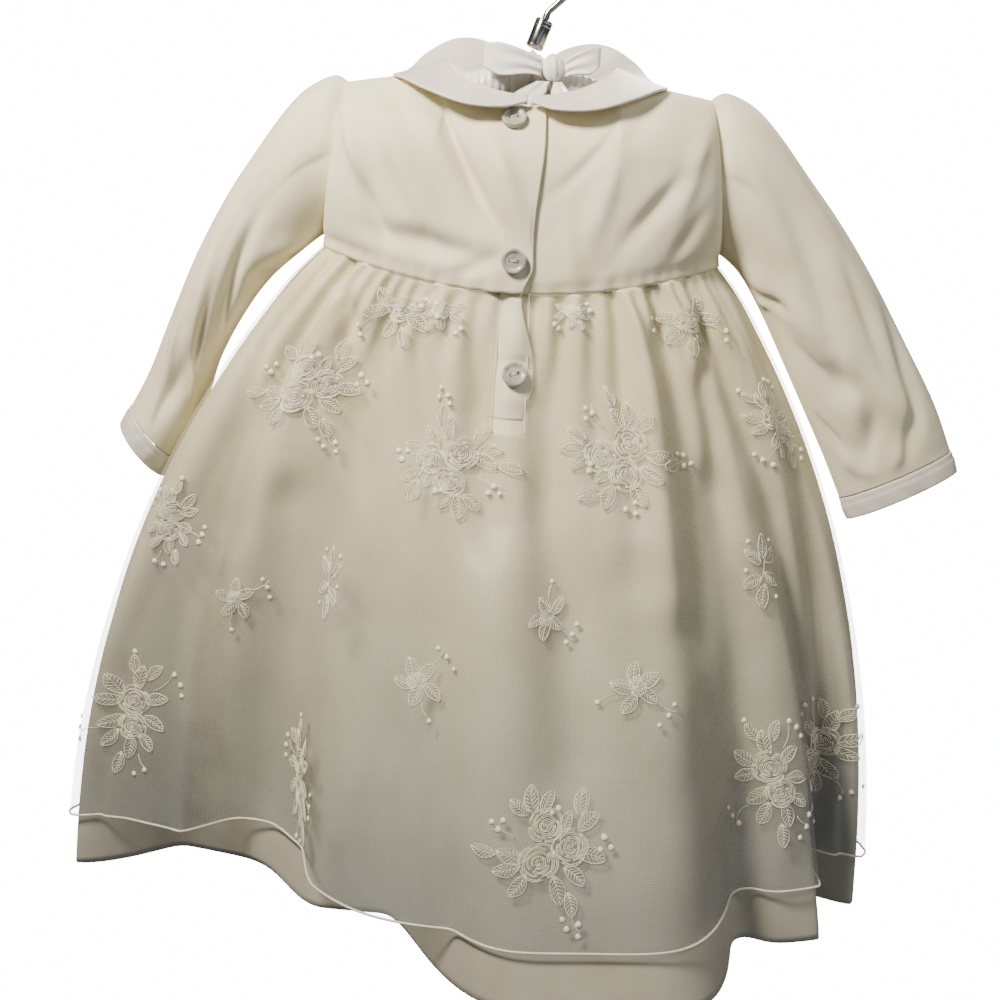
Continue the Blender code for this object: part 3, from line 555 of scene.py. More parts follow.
sleeve = {"wall": 1.2 * mm, "capPuff": 4.5 * mm, "capGathers": 16, "capGatherRise": 0.9 * mm,
          "cuffWall": 1.1 * mm, "cuffSwell": 0.6 * mm, "cuffGroove": 0.35 * mm,
          "cuffWrinkle": 0.18 * mm, "seamTurn": 0.5 * mm, "creaseScale": 1.5,
          "columns": 160, "rows": 110, "cuffRows": 14}
# Sections down a sleeve, in millimetres: outer x and z, inner x and z, depth and middle y
leftSections = [Vector(row) * mm for row in (
    (-87, -75.5, -96, -147.6, 52, 0), (-111, -87, -107, -157, 56, 0),
    (-136, -119, -122, -171, 53, 1), (-156.5, -156, -135, -189, 50, 5),
    (-173, -194, -147.5, -212, 44, 13), (-184, -220, -157, -239, 44, 21),
    (-194, -239, -171, -265, 44, 25))]
leftCuffEnd = Vector((-200, -248, -177, -275.5, 44, 27)) * mm
rightSections = [Vector(row) * mm for row in (
    (87, -75.5, 96, -147.6, 52, 0), (112, -84, 107, -157, 56, 0),
    (143, -117, 118, -174, 50, -1), (168, -151, 128, -193, 43, -3),
    (190, -187, 141, -218, 36, -4), (206, -214, 154, -243, 30, -4),
    (216.5, -237.5, 164, -264, 27, -4))]
rightCuffEnd = Vector((221, -247.5, 168.5, -274.5, 27, -4)) * mm
# Creases round and down a sleeve: share round (0 outer edge, 0.25 back, 0.5 inner edge), share
# down, slant, half width, half length, rise in millimetres. The first rows are the solid's own.
leftCreases = creaseTable((
    (0.30, 0.42, 0.30, 0.035, 0.13, -2.6), (0.22, 0.55, 0.45, 0.040, 0.12, 2.2),
    (0.26, 0.82, -0.20, 0.050, 0.10, -3.0), (0.40, 0.22, -0.35, 0.035, 0.12, 2.0),
    (0.72, 0.50, 0.30, 0.045, 0.14, -2.2), (0.80, 0.78, 0.20, 0.050, 0.12, 2.0),
    (0.36, 0.50, 0.50, 0.020, 0.07, -1.6), (0.30, 0.64, 0.35, 0.020, 0.08, -1.8),
    (0.18, 0.70, 0.30, 0.022, 0.09, 1.4), (0.42, 0.34, -0.60, 0.018, 0.05, -1.5),
    (0.45, 0.27, -0.50, 0.016, 0.05, 1.2), (0.16, 0.30, 0.15, 0.030, 0.12, 1.2),
    (0.34, 0.76, 0.60, 0.018, 0.05, 1.5), (0.22, 0.90, 0.30, 0.020, 0.05, 1.2),
    (0.60, 0.36, 0.40, 0.020, 0.07, -1.4), (0.88, 0.60, -0.30, 0.024, 0.08, -1.4),
    (0.66, 0.66, 0.35, 0.020, 0.07, 1.3), (0.92, 0.36, 0.20, 0.030, 0.10, 1.1)))
rightCreases = creaseTable((
    (0.24, 0.40, 0.20, 0.040, 0.18, -2.4), (0.33, 0.46, -0.25, 0.035, 0.14, 2.4),
    (0.41, 0.24, -0.30, 0.035, 0.10, 2.4), (0.20, 0.78, -0.40, 0.045, 0.14, 2.2),
    (0.30, 0.84, 0.50, 0.035, 0.08, -2.2), (0.70, 0.48, 0.25, 0.045, 0.14, -2.2),
    (0.78, 0.76, -0.20, 0.050, 0.12, 2.0),
    (0.38, 0.36, -0.45, 0.018, 0.06, -2.0), (0.44, 0.30, -0.50, 0.016, 0.05, 1.6),
    (0.36, 0.60, -0.30, 0.020, 0.09, -1.8), (0.16, 0.56, 0.15, 0.024, 0.12, -1.4),
    (0.28, 0.70, 0.10, 0.020, 0.10, 1.5), (0.40, 0.78, -0.40, 0.018, 0.06, -1.6),
    (0.12, 0.32, 0.10, 0.030, 0.14, 1.0), (0.24, 0.92, 0.30, 0.022, 0.05, 1.4),
    (0.30, 0.66, -0.50, 0.045, 0.06, -2.8), (0.17, 0.85, 0.50, 0.030, 0.07, -2.4),
    (0.35, 0.90, -0.40, 0.030, 0.05, 2.0), (0.10, 0.68, 0.30, 0.030, 0.10, -2.0),
    (0.60, 0.34, 0.40, 0.020, 0.07, -1.4), (0.88, 0.60, -0.30, 0.024, 0.08, -1.4),
    (0.66, 0.66, 0.35, 0.020, 0.07, 1.3), (0.92, 0.36, 0.20, 0.030, 0.10, 1.1)))


def sectionPoint(section, turn):
    outer = Vector((section[0], section[5], section[1]))
    inner = Vector((section[2], section[5], section[3]))
    angle = 2 * math.pi * turn
    point = (outer + inner) / 2 + (outer - inner) / 2 * math.cos(angle)
    point.y -= section[4] / 2 * math.sin(angle)
    return point


def sectionMiddle(section):
    return (sectionPoint(section, 0) + sectionPoint(section, 0.5)) / 2


def sleevePoint(sections, creases, turn, along):
    section = smoothThrough(sections, along)
    point = sectionPoint(section, turn)
    side = math.copysign(1, section[0])
    # the seam turns in under the bodice
    point.x -= side * sleeve["seamTurn"] * (1 - ease(along * 12))
    outward = (point - sectionMiddle(section)).normalized()
    top = max(math.cos(2 * math.pi * turn), 0.0)
    puff = sleeve["capPuff"] * (top ** 0.5) * ease(along / 0.07)
    puff *= 1 - ease((along - 0.07) / 0.25)
    gathers = math.cos(sleeve["capGathers"] * math.pi * turn) * top * ease(along / 0.04)
    gathers *= sleeve["capGatherRise"] * (1 - ease((along - 0.05) / 0.16))
    fade = ease(along / 0.12) * ease((1 - along) / 0.08)
    lift = sum(creaseLift(creases, turn + whole, along) for whole in (0, -1, 1))
    return point + outward * (puff + gathers + sleeve["creaseScale"] * lift * fade)


def cuffPoint(last, end, turn, along):
    startGap = bodice["seam"] / (sectionPoint(end, 0) - sectionPoint(last, 0)).length
    section = last.lerp(end, startGap + along * (1 - startGap))
    point = sectionPoint(section, turn)
    swell = sleeve["cuffSwell"] * math.sin(math.pi * mix(0.15, 1.0, along))
    groove = math.exp(-((along - 0.26) / 0.06) ** 2)  # where the band is stitched
    groove *= sleeve["cuffGroove"]
    wrinkle = math.sin(26 * math.pi * turn + 3 * along) * math.sin(math.pi * along)
    wrinkle *= sleeve["cuffWrinkle"]
    return point + (point - sectionMiddle(section)).normalized() * (swell - groove + wrinkle)


def makeSleeves():
    pairs = (
        ("Left", leftSections, leftCreases, leftCuffEnd, (0.180, 0.175), 0.0246,
         (0.129, 0.0115)),
        ("Right", rightSections, rightCreases, rightCuffEnd, (0.185, 0.178), 0.0283,
         (0.143, 0.0112)))
    for side, sections, creases, end, flat, area, cuffFlat in pairs:
        node = side.lower()
        tube = makeSheet("sleeve" + side, sleeve["columns"], evenRows(sleeve["rows"], 1.1),
                         lambda turn, along: sleevePoint(sections, creases, turn, along),
                         sectionMiddle(sections[3]), sleeve["wall"], flat, closed=True)
        dress(tube, velvet, ["sleeve_" + node])
        cuff = makeSheet("cuff" + side, sleeve["columns"], evenRows(sleeve["cuffRows"]),
                         lambda turn, along: cuffPoint(sections[-1], end, turn, along),
                         sectionMiddle(end), sleeve["cuffWall"], cuffFlat, closed=True)
        dress(cuff, satin, ["cuff_" + node])
    print("sleeves set in")


makeSleeves()


# Skirts: velvet beneath, organza over it

skirt = {
    "hemZ": -473 * mm, "hemHalfLeft": 209 * mm, "hemHalfRight": 187.5 * mm,
    "hemDepth": 55 * mm, "sideFlare": 2.45, "gathers": 28, "gatherRise": 2.3 * mm,
    "gathersEnd": 0.45, "pleatRise": 3.2 * mm, "netGapYoke": 1.6 * mm, "netGapBody": 2.0 * mm,
    "netGapHem": 4.5 * mm, "netBlend": 5.0 * mm, "netEnd": 0.915, "columns": 270, "rows": 104,
    "velvetWall": 1.2 * mm, "netWall": 0.35 * mm, "slitEnd": 0.21, "slitLeft": -0.056,
    "slitRight": 0.028, "puckerRise": 1.4 * mm, "foldScale": 1.9, "tuck": 1.5 * mm,
    "netHold": 4 * mm, "hemCord": 0.6 * mm, "slitCord": 0.2 * mm,
    "middle": Vector((0, 0, -0.32)),
}
# Large folds: degrees round the skirt from the centre back at the yoke and at the hem, reach
# in millimetres at the hem, half width in degrees
velvetFolds = (
    (6, 13, 96, 28), (-34, -53, -52, 30), (-62, -80, 5, 12), (36, 49, 26, 14),
    (58, 66, -27, 13), (76, 81, 2, 9), (112, 118, 26, 14), (132, 137, -16, 11),
    (150, 153, 34, 15), (174, 175, -12, 10), (198, 197, 32, 15), (220, 217, -18, 11),
    (242, 238, 28, 14))
netFolds = (
    (2, 4, 84, 38), (-40, -36, -40, 14), (-50, -60, -6, 14), (56, 60, -24, 12),
    (118, 122, 30, 17), (138, 140, -8, 10), (172, 172, 40, 26), (214, 213, -6, 10),
    (236, 232, 34, 18))


def plainRing(angle, row):
    sine, cosine = math.sin(angle), math.cos(angle)
    hemHalf = mix(skirt["hemHalfLeft"], skirt["hemHalfRight"], 0.5 + 0.5 * sine)
    half = mix(bodice["yokeHalf"], hemHalf, 1 - (1 - row) ** skirt["sideFlare"])
    depth = mix(bodice["yokeDepth"], skirt["hemDepth"], row)
    power = mix(bodice["roundness"], 1.0, min(row * 2, 1.0))
    x = half * signedPower(sine, power)
    y = -depth * signedPower(cosine, power)
    z = mix(yokeSeamZ(sine) - bodice["seam"] - 0.2 * mm, skirt["hemZ"], row)
    return Vector((x, y, z)), Vector((sine / half, -cosine / depth, 0)).normalized()


def foldRise(folds, degrees, row):
    total = 0.0
    for yokeAngle, hemAngle, reach, halfWidth in folds:
        away = ((degrees - mix(yokeAngle, hemAngle, row) + 180) % 360 - 180) / halfWidth
        if abs(away) < 1:
            total += reach * mm * row ** 1.35 * math.cos(0.5 * math.pi * away * away) ** 2
    return total


def gatherRise(angle, row):
    wander = 0.8 * math.sin(3 * angle + 1) + 0.5 * math.sin(7 * angle)
    nearSeam = mix(0.35, 1.0, ease(row / 0.08)) * (1 - ease(row / skirt["gathersEnd"]))
    calmSide = 1 - 0.75 * abs(math.sin(angle)) ** 8
    small = skirt["gatherRise"] * nearSeam * math.sin(skirt["gathers"] * angle + wander)
    pleatFade = ease(row / 0.22) * (1 - ease((row - 0.30) / 0.55))
    pleats = math.sin(0.5 * skirt["gathers"] * angle + 1.4 * wander)
    return (small + skirt["pleatRise"] * pleatFade * pleats) * calmSide


# Troughs and ridges, listed one by one: rise in millimetres, half width in degrees, and the
# places they run through as (degrees, row)
handFolds = (
    (-4.2, 2.6, ((2, 0.02), (3, 0.19), (5, 0.31), (9, 0.51), (10, 0.68))),
    (-3.6, 3.0, ((-53, 0.01), (-38, 0.10), (-26, 0.34), (-20, 0.66))),
    (-2.8, 2.2, ((-34, 0.02), (-27, 0.10), (-22, 0.22))),
    (-3.4, 2.4, ((-22, 0.02), (-14, 0.20), (-11, 0.47), (-12, 0.72))),
    (-3.8, 2.4, ((36, 0.01), (32, 0.09), (31, 0.20), (31, 0.44))),
    (-3.0, 2.4, ((53, 0.02), (41, 0.17), (39, 0.30))),
    (-2.2, 1.8, ((15, 0.01), (14, 0.13), (14, 0.24))),
    (-2.6, 2.0, ((22, 0.01), (20, 0.16), (20, 0.34))),
    (2.8, 3.0, ((-18, 0.03), (-8, 0.29), (-7, 0.54), (-6, 0.78))),
    (-2.0, 1.6, ((9, 0.01), (6, 0.19), (6, 0.28))),
    (-2.6, 3.6, ((19, 0.42), (19, 0.72))),
    (-3.0, 3.0, ((37, 0.30), (39, 0.53), (38, 0.80))),
    (-2.4, 2.0, ((-10, 0.01), (-5, 0.17), (-2, 0.34))),
    (2.6, 2.6, ((26, 0.04), (25, 0.30), (26, 0.60))),
    (2.2, 2.4, ((-46, 0.05), (-33, 0.20), (-24, 0.42))),
    (-2.4, 3.0, ((-66, 0.05), (-58, 0.30), (-52, 0.62), (-50, 0.85))),
    (2.0, 3.0, ((62, 0.10), (58, 0.40), (60, 0.75))),
    (-2.6, 3.4, ((-60, 0.42), (-63, 0.62), (-60, 0.82))),
    (2.4, 3.2, ((-50, 0.46), (-47, 0.70), (-45, 0.90))),
    (-2.8, 2.8, ((-40, 0.36), (-36, 0.60), (-36, 0.86))),
    (2.4, 3.0, ((-2, 0.40), (1, 0.64), (0, 0.90))),
    (-2.4, 3.0, ((27, 0.50), (29, 0.74), (30, 0.90))),
    (-2.2, 3.4, ((52, 0.34), (54, 0.60), (53, 0.86))),
    (-3.2, 2.8, ((108, 0.02), (112, 0.25), (108, 0.55))),
    (-3.4, 2.6, ((128, 0.02), (130, 0.22), (134, 0.60), (134, 0.85))),
    (-3.0, 2.4, ((146, 0.01), (148, 0.18), (146, 0.42))),
    (-3.8, 2.8, ((163, 0.02), (164, 0.24), (166, 0.66))),
    (-2.4, 2.0, ((174, 0.01), (175, 0.16), (176, 0.30))),
    (-3.6, 2.6, ((188, 0.02), (187, 0.22), (188, 0.58), (186, 0.80))),
    (-2.8, 2.2, ((203, 0.01), (204, 0.20), (207, 0.46))),
    (-3.4, 2.6, ((221, 0.02), (222, 0.26), (226, 0.62))),
    (-2.8, 2.6, ((243, 0.02), (246, 0.22), (250, 0.50))),
    (2.6, 2.8, ((155, 0.06), (157, 0.36), (156, 0.70))),
    (2.6, 2.8, ((196, 0.06), (197, 0.36), (198, 0.70))),
)
foldsByRow = {}


def foldsAt(row):  # where each listed fold runs at a row: degrees, half width, rise
    if row in foldsByRow:
        return foldsByRow[row]
    found = []
    for rise, halfWidth, line in handFolds:
        first, last = line[0], line[-1]
        if not first[1] - 0.06 < row < last[1] + 0.14:
            continue
        middle = first[0] if row <= first[1] else last[0]
        for before, after in zip(line, line[1:]):
            if before[1] <= row <= after[1]:
                middle = mix(before[0], after[0], ease((row - before[1]) / (after[1] - before[1])))
        ends = ease((row - first[1] + 0.06) / 0.08) * ease((last[1] + 0.14 - row) / 0.16)
        ends *= mix(0.55, 1.0, ease(row / 0.2))
        found.append((middle, halfWidth * mix(1.1, 2.2, row),
                      skirt["foldScale"] * rise * mm * ends))
    foldsByRow[row] = found
    return found


def handFoldRise(degrees, row):
    total = 0.0
    for middle, halfWidth, rise in foldsAt(row):
        away = ((degrees - middle + 180) % 360 - 180) / halfWidth
        if abs(away) < 3:
            total += rise * math.exp(-away * away)
    return total


def puckerRise(angle, row):  # the puckers run on down the skirt and fade
    calmSide = 1 - 0.8 * abs(math.sin(angle)) ** 8
    fade = ease(row / 0.012) * (1 - ease((row - 0.02) / 0.13))
    return skirt["puckerRise"] * puckers(angle) * fade * calmSide


def velvetRise(angle, row):
    degrees = math.degrees(angle)
    tucked = -skirt["tuck"] * (1 - ease(row / 0.05))
    return (tucked + gatherRise(angle, row) + foldRise(velvetFolds, degrees, row)
            + handFoldRise(degrees, row) + puckerRise(angle, row))


def netGap(row):
    near = mix(skirt["netGapYoke"], skirt["netGapBody"], ease(row / 0.08))
    return mix(near, skirt["netGapHem"], ease((row - 0.35) / 0.6))


def netRise(angle, row):
    overVelvet = velvetRise(angle, row) + netGap(row)
    own = foldRise(netFolds, math.degrees(angle), row) - skirt["netHold"]
    blend = max(skirt["netBlend"] - abs(overVelvet - own), 0) ** 2 / (4 * skirt["netBlend"])
    return max(overVelvet, own) + blend * ease(row / 0.3)


def skirtPoint(rise, angle, row):
    point, outward = plainRing(angle, row)
    return point + outward * rise(angle, row)


def panelAngle(share, front):
    sideGap = bodice["panelGap"] / (bodice["yokeDepth"] * 2)
    return (math.pi / 2 if front else -math.pi / 2) + mix(sideGap, math.pi - sideGap, share)


def inSlit(share, row):
    angle = panelAngle(share, False)
    return skirt["slitLeft"] < angle < skirt["slitRight"] and row < skirt["slitEnd"]


def cordMesh(verts, faces, points, radius, sides=6, normals=None):
    # adds a thin cord along points to a mesh's lists; normals flatten it onto its cloth
    start = len(verts)
    for index, point in enumerate(points):
        ahead = points[min(index + 1, len(points) - 1)] - points[max(index - 1, 0)]
        ahead = ahead.normalized() if ahead.length > 0 else Vector((1, 0, 0))
        up = normals[index] if normals else Vector((0, -1, 0))
        side = ahead.cross(up)
        side = side.normalized() if side.length > 1e-6 else ahead.orthogonal().normalized()
        up = side.cross(ahead).normalized()
        for step in range(sides):
            turn = 2 * math.pi * (step + 0.5) / sides
            verts.append(point + side * radius * math.cos(turn) + up * radius * math.sin(turn))
    faces.extend(ringFaces(start, sides, len(points)))
    faces.append(tuple(start + step for step in range(sides)))
    last = start + (len(points) - 1) * sides
    faces.append(tuple(last + step for step in reversed(range(sides))))


def threadObject(name, verts, faces):
    mesh = bpy.data.meshes.new(name)
    mesh.from_pydata(verts, [], faces)
    shape = bmesh.new()
    shape.from_mesh(mesh)
    bmesh.ops.recalc_face_normals(shape, faces=shape.faces)
    shape.to_mesh(mesh)
    shape.free()
    mesh.shade_smooth()
    return addObject(name, mesh)


def makeNetHem(side, front):  # the rolled hem round the net's edge, and down the back slit
    verts, faces = [], []
    edge = [skirtPoint(netRise, panelAngle(step / 600, front), skirt["netEnd"])
            for step in range(601)]
    cordMesh(verts, faces, edge, skirt["hemCord"])
    if not front:
        for angle in (skirt["slitLeft"], skirt["slitRight"]):
            edge = [skirtPoint(netRise, angle, skirt["slitEnd"] * step / 60) for step in range(61)]
            cordMesh(verts, faces, edge, skirt["slitCord"])
    hem = threadObject("netHem" + side, verts, faces)
    dress(hem, floss, [])
    return hem


def makeSkirts():
    velvetCut = {"Back": ((0.60, 0.33), 0.1417), "Front": ((0.60, 0.33), 0.1408)}
    netCut = {"Back": ((0.58, 0.304), 0.1290), "Front": ((0.56, 0.302), 0.1261)}
    for side, front in (("Back", False), ("Front", True)):
        under = makeSheet("underskirt" + side, skirt["columns"], evenRows(skirt["rows"], 1.15),
                          lambda share, row: skirtPoint(velvetRise, panelAngle(share, front), row),
                          skirt["middle"], skirt["velvetWall"], velvetCut[side][0])
        dress(under, velvet, ["underskirt_" + side.lower()])
        rows = [row * skirt["netEnd"] for row in evenRows(skirt["rows"], 1.15)]
        over = makeSheet("overskirt" + side, skirt["columns"], rows,
                         lambda share, row: skirtPoint(netRise, panelAngle(share, front), row),
                         skirt["middle"], skirt["netWall"], netCut[side][0],
                         cut=None if front else inSlit)
        dress(over, organza, ["overskirt_" + side.lower()])
        makeNetHem(side, front)
    print("skirts gathered")


makeSkirts()


# Embroidery on the net: sprays of stitched roses, leaves and berries. A spray is a list of
# pieces in millimetres on the flat cloth: kind, x, y, turn in degrees, size.

embroidery = {"strand": 0.27 * mm, "fineStrand": 0.27 * mm * 0.8, "height": 0.34 * mm,
              "leafWide": 0.50, "leafScale": 1.12, "berrySides": 8, "cell": 3.5, "cells": 30}
sprays = {
    "large": (
        ("rose", 0, 0, 20, 8.2), ("rose", 14, 6, 140, 7.6), ("rose", 3, 15.5, 260, 7.4),
        ("leaf", -12, 3, 165, 12), ("leaf", -14, -3, 195, 11), ("leaf", -24, 4, 172, 10),
        ("leaf", -9, -10, 235, 11), ("leaf", 8, -12, 285, 12), ("leaf", 16, -6, 320, 11),
        ("leaf", 24, 2, 350, 12), ("leaf", -3, 27, 100, 12), ("leaf", -9, 24, 140, 10),
        ("leaf", 4, 25, 60, 10), ("leaf", 23, 16, 35, 11), ("leaf", 20, 24, 80, 11),
        ("leaf", 13, 16, 70, 9), ("leaf", 14, -18, 280, 10),
        ("stem", 20, 18, 55, 10), ("berry", 30, 10, 0, 1.7), ("berry", 33, 6, 0, 1.5),
        ("berry", 28, 5, 0, 1.4), ("berry", 9, 22, 0, 1.6), ("berry", 6, 20.5, 0, 1.3),
        ("stem", -10, 10, 150, 13), ("berry", -18, 14, 0, 1.6), ("berry", -21, 17, 0, 1.4),
        ("berry", -16, 18, 0, 1.5), ("stem", 15, -22, 285, 9), ("berry", 18, -26, 0, 1.6),
        ("berry", 13, -28, 0, 1.5), ("berry", 18, -31, 0, 1.4), ("berry", 11, -24, 0, 1.4)),
    "tall": (
        ("rose", 0, 4, 60, 8.0), ("rose", 3, -9, 200, 7.2),
        ("leaf", -11, 10, 140, 12), ("leaf", -12, 2, 185, 11), ("leaf", 0, 16, 95, 12),
        ("leaf", -5, 22, 120, 10), ("leaf", 6, 21, 60, 10), ("leaf", 11, 8, 30, 11),
        ("leaf", 13, -4, 345, 11), ("leaf", -8, -9, 215, 12), ("leaf", -7, -18, 240, 11),
        ("leaf", 4, -20, 275, 12), ("leaf", 12, -15, 320, 10), ("leaf", 0, -30, 265, 11),
        ("stem", 8, 12, 50, 15), ("berry", 19, 20, 0, 1.6), ("berry", 15, 24, 0, 1.5),
        ("berry", 21, 15, 0, 1.4), ("stem", -12, -14, 200, 10), ("berry", -22, -17, 0, 1.5),
        ("berry", -19, -22, 0, 1.6), ("berry", -24, -12, 0, 1.3), ("stem", 10, -22, 300, 9),
        ("berry", 15, -29, 0, 1.5), ("berry", 10, -33, 0, 1.4), ("berry", -8, 28, 0, 1.5)),
    "yoke": (
        ("rose", 0, -4, 30, 6.4), ("leaf", -9, 0, 150, 11), ("leaf", -11, -7, 200, 11),
        ("leaf", 8, -1, 20, 10), ("leaf", 9, -9, 330, 11), ("leaf", -2, -14, 255, 10),
        ("leaf", 5, -17, 290, 9), ("stem", -9, -10, 220, 9), ("berry", -16, -16, 0, 1.5),
        ("berry", -13, -20, 0, 1.4), ("berry", 17, -4, 0, 1.5), ("berry", 15, 2, 0, 1.3)),
    "small": (
        ("leaf", 0, 4, 100, 10), ("leaf", -5, 0, 150, 9), ("leaf", 5, 1, 35, 9),
        ("leaf", -2, -6, 235, 10), ("leaf", 5, -7, 300, 9), ("rose", 0, -1, 0, 3.6),
        ("stem", 7, 4, 20, 10), ("berry", 15, 6, 0, 1.4), ("berry", 12, 10, 0, 1.3),
        ("berry", 17, 1, 0, 1.3), ("stem", 0, -10, 265, 7), ("berry", 1, -18, 0, 1.3)),
    "sprig": (
        ("leaf", 0, 10, 95, 10), ("leaf", -5, 6, 145, 9), ("leaf", 5, 5, 40, 9),
        ("stem", 0, 8, 268, 18), ("leaf", -5, -4, 210, 9), ("leaf", 5, -6, 325, 9),
        ("leaf", 0, -12, 275, 10), ("berry", -7, 12, 0, 1.3), ("berry", 7, 12, 0, 1.3),
        ("berry", 8, -1, 0, 1.3), ("berry", -7, -12, 0, 1.2)),
}
# Where each spray lies: name, degrees round from the centre back, row, turn, size, mirrored
sprayPlaces = (
    ("large", -45, 0.205, 15, 0.95, 1), ("large", -7.5, 0.245, 175, 0.92, 1),
    ("large", 20, 0.225, 100, 0.98, -1), ("large", 5.5, 0.80, 0, 1.0, 1),
    ("tall", -29, 0.80, 28, 1.0, -1), ("tall", -66, 0.73, -10, 1.0, 1),
    ("tall", 43, 0.74, 8, 0.98, 1), ("tall", 66, 0.74, -20, 0.95, -1),
    ("yoke", -27, 0.035, 0, 1.0, 1), ("yoke", -16, 0.03, 0, 0.6, -1),
    ("yoke", 43, 0.045, 10, 1.0, -1), ("yoke", 11, 0.02, 0, 0.5, 1),
    ("tall", 62, 0.22, 20, 0.75, 1), ("small", -46, 0.53, 0, 1.0, 1),
    ("sprig", -27, 0.47, 0, 1.1, 1), ("small", -11, 0.58, 20, 1.1, 1),
    ("small", 6, 0.48, 175, 1.0, -1), ("small", 19, 0.57, -70, 1.15, 1),
    ("sprig", 46, 0.43, -8, 1.1, -1), ("tall", -66, 0.42, 20, 0.72, -1),
    ("large", 118, 0.24, 30, 0.9, 1), ("large", 152, 0.22, 190, 0.9, -1),
    ("large", 196, 0.24, 0, 0.92, 1), ("large", 236, 0.23, 120, 0.9, -1),
    ("yoke", 138, 0.04, 0, 0.9, 1), ("yoke", 176, 0.04, 0, 0.8, -1),
    ("yoke", 216, 0.04, 0, 0.9, 1), ("small", 132, 0.46, 0, 1.1, 1),
    ("sprig", 166, 0.47, 10, 1.1, -1), ("small", 190, 0.50, 160, 1.1, 1),
    ("sprig", 224, 0.46, -10, 1.1, 1), ("tall", 112, 0.72, 15, 0.95, 1),
    ("large", 146, 0.78, 10, 0.95, -1), ("tall", 176, 0.76, 180, 0.95, 1),
    ("large", 206, 0.79, -15, 0.95, 1), ("tall", 242, 0.74, 20, 0.95, -1),
)


def makePatch(degrees, row, turn, size, mirrored):  # a grid of places on the net round a spray
    angle = math.radians(degrees)
    wide = skirtPoint(netRise, angle + 0.06, row) - skirtPoint(netRise, angle - 0.06, row)
    tall = skirtPoint(netRise, angle, row + 0.03) - skirtPoint(netRise, angle, row - 0.015)
    perRadian, perRow = wide.length / 0.12, tall.length / 0.045
    edge = 0.004  # the patch stays this share of the height inside the net's edges
    offsets = [(step - embroidery["cells"] // 2) * embroidery["cell"] * mm
               for step in range(embroidery["cells"] + 1)]
    grid = []
    for offset in offsets:
        level = min(max(row - offset / perRow, edge), skirt["netEnd"] - edge)
        grid.append([skirtPoint(netRise, angle + across / perRadian, level)
                     for across in offsets])
    return {"turn": math.radians(turn), "size": size, "mirrored": mirrored, "grid": grid,
            "outward": plainRing(angle, row)[1]}


def onNet(spray, x, y, height):
    # a place on the net in the spray's own millimetres, and the cloth's normal there
    across, up = spray["mirrored"] * x * spray["size"], y * spray["size"]
    east = across * math.cos(spray["turn"]) - up * math.sin(spray["turn"])
    north = across * math.sin(spray["turn"]) + up * math.cos(spray["turn"])
    column, level = (min(max(away / embroidery["cell"] + embroidery["cells"] // 2, 0),
                         embroidery["cells"] - 0.001) for away in (east, north))
    left, low = int(column), int(level)
    a, b = spray["grid"][low][left], spray["grid"][low][left + 1]
    c, d = spray["grid"][low + 1][left], spray["grid"][low + 1][left + 1]
    point = a.lerp(b, column - left).lerp(c.lerp(d, column - left), level - low)
    normal = (b - a + d - c).cross(c - a + d - b)
    normal = normal.normalized() if normal.length > 1e-12 else spray["outward"]
    normal = -normal if normal.dot(spray["outward"]) < 0 else normal
    return point + normal * height, normal


def stitchLine(lists, spray, line, radius, height):
    points, normals = [], []
    for x, y in line:
        point, normal = onNet(spray, x, y, height)
        points.append(point)
        normals.append(normal)
    cordMesh(*lists, points, radius, 3, normals)


def stitchRose(lists, spray, x, y, turn, size):
    for ring in range(5):  # open arcs, wound like petals round the heart
        reach = size * (0.16 + 0.21 * ring)
        arcs = 2 + (ring > 1) + (ring > 3)
        for arc in range(arcs):
            first = math.radians(turn + 47 * ring + 360 * arc / arcs + random.uniform(-9, 9))
            span = math.radians(360 / arcs * random.uniform(0.85, 1.12))
            for lane in range(2):
                line = []
                for step in range(7):
                    angle = first + span * step / 6
                    swell = reach * (1 + 0.12 * math.sin(math.pi * step / 6)) - 0.75 * lane
                    swell += random.uniform(-0.12, 0.12)
                    line.append((x + swell * math.cos(angle), y + swell * 0.92 * math.sin(angle)))
                rise = embroidery["height"] * (1.5 - 0.2 * ring + 0.35 * (1 - lane))
                stitchLine(lists, spray, line, embroidery["strand"], rise)


def stitchLeaf(lists, spray, x, y, turn, size):
    size *= embroidery["leafScale"]
    spin = math.radians(turn)

    def onLeaf(along, across):
        across += 0.06 * size * (1 - 4 * (along / size) ** 2)
        return (x + along * math.cos(spin) - across * math.sin(spin),
                y + along * math.sin(spin) + across * math.cos(spin))

    halfWide = 0.5 * size * embroidery["leafWide"]
    for side in (-1, 1):  # the edge, then slanting stitches out from the rib
        edge = [onLeaf(size * (share - 0.5), side * halfWide * math.sin(math.pi * share) ** 0.75)
                for share in (0, 0.12, 0.3, 0.5, 0.7, 0.88, 1.0)]
        stitchLine(lists, spray, edge, embroidery["strand"], embroidery["height"])
        for stitch in range(7):
            share = (stitch + 0.6) / 8
            out = min(share + 0.17, 0.97)
            start = onLeaf(size * (share - 0.5), side * 0.1)
            reach = halfWide * math.sin(math.pi * out) ** 0.75 * random.uniform(0.8, 1.0)
            middle = onLeaf(size * (mix(share, out, 0.5) - 0.5), side * reach * 0.5)
            end = onLeaf(size * (out - 0.5), side * reach)
            stitchLine(lists, spray, (start, middle, end), embroidery["fineStrand"],
                       embroidery["height"] * 0.6)
    rib = [onLeaf(size * (share - 0.5), 0) for share in (0, 0.35, 0.65, 0.95)]
    stitchLine(lists, spray, rib, embroidery["fineStrand"], embroidery["height"] * 0.9)


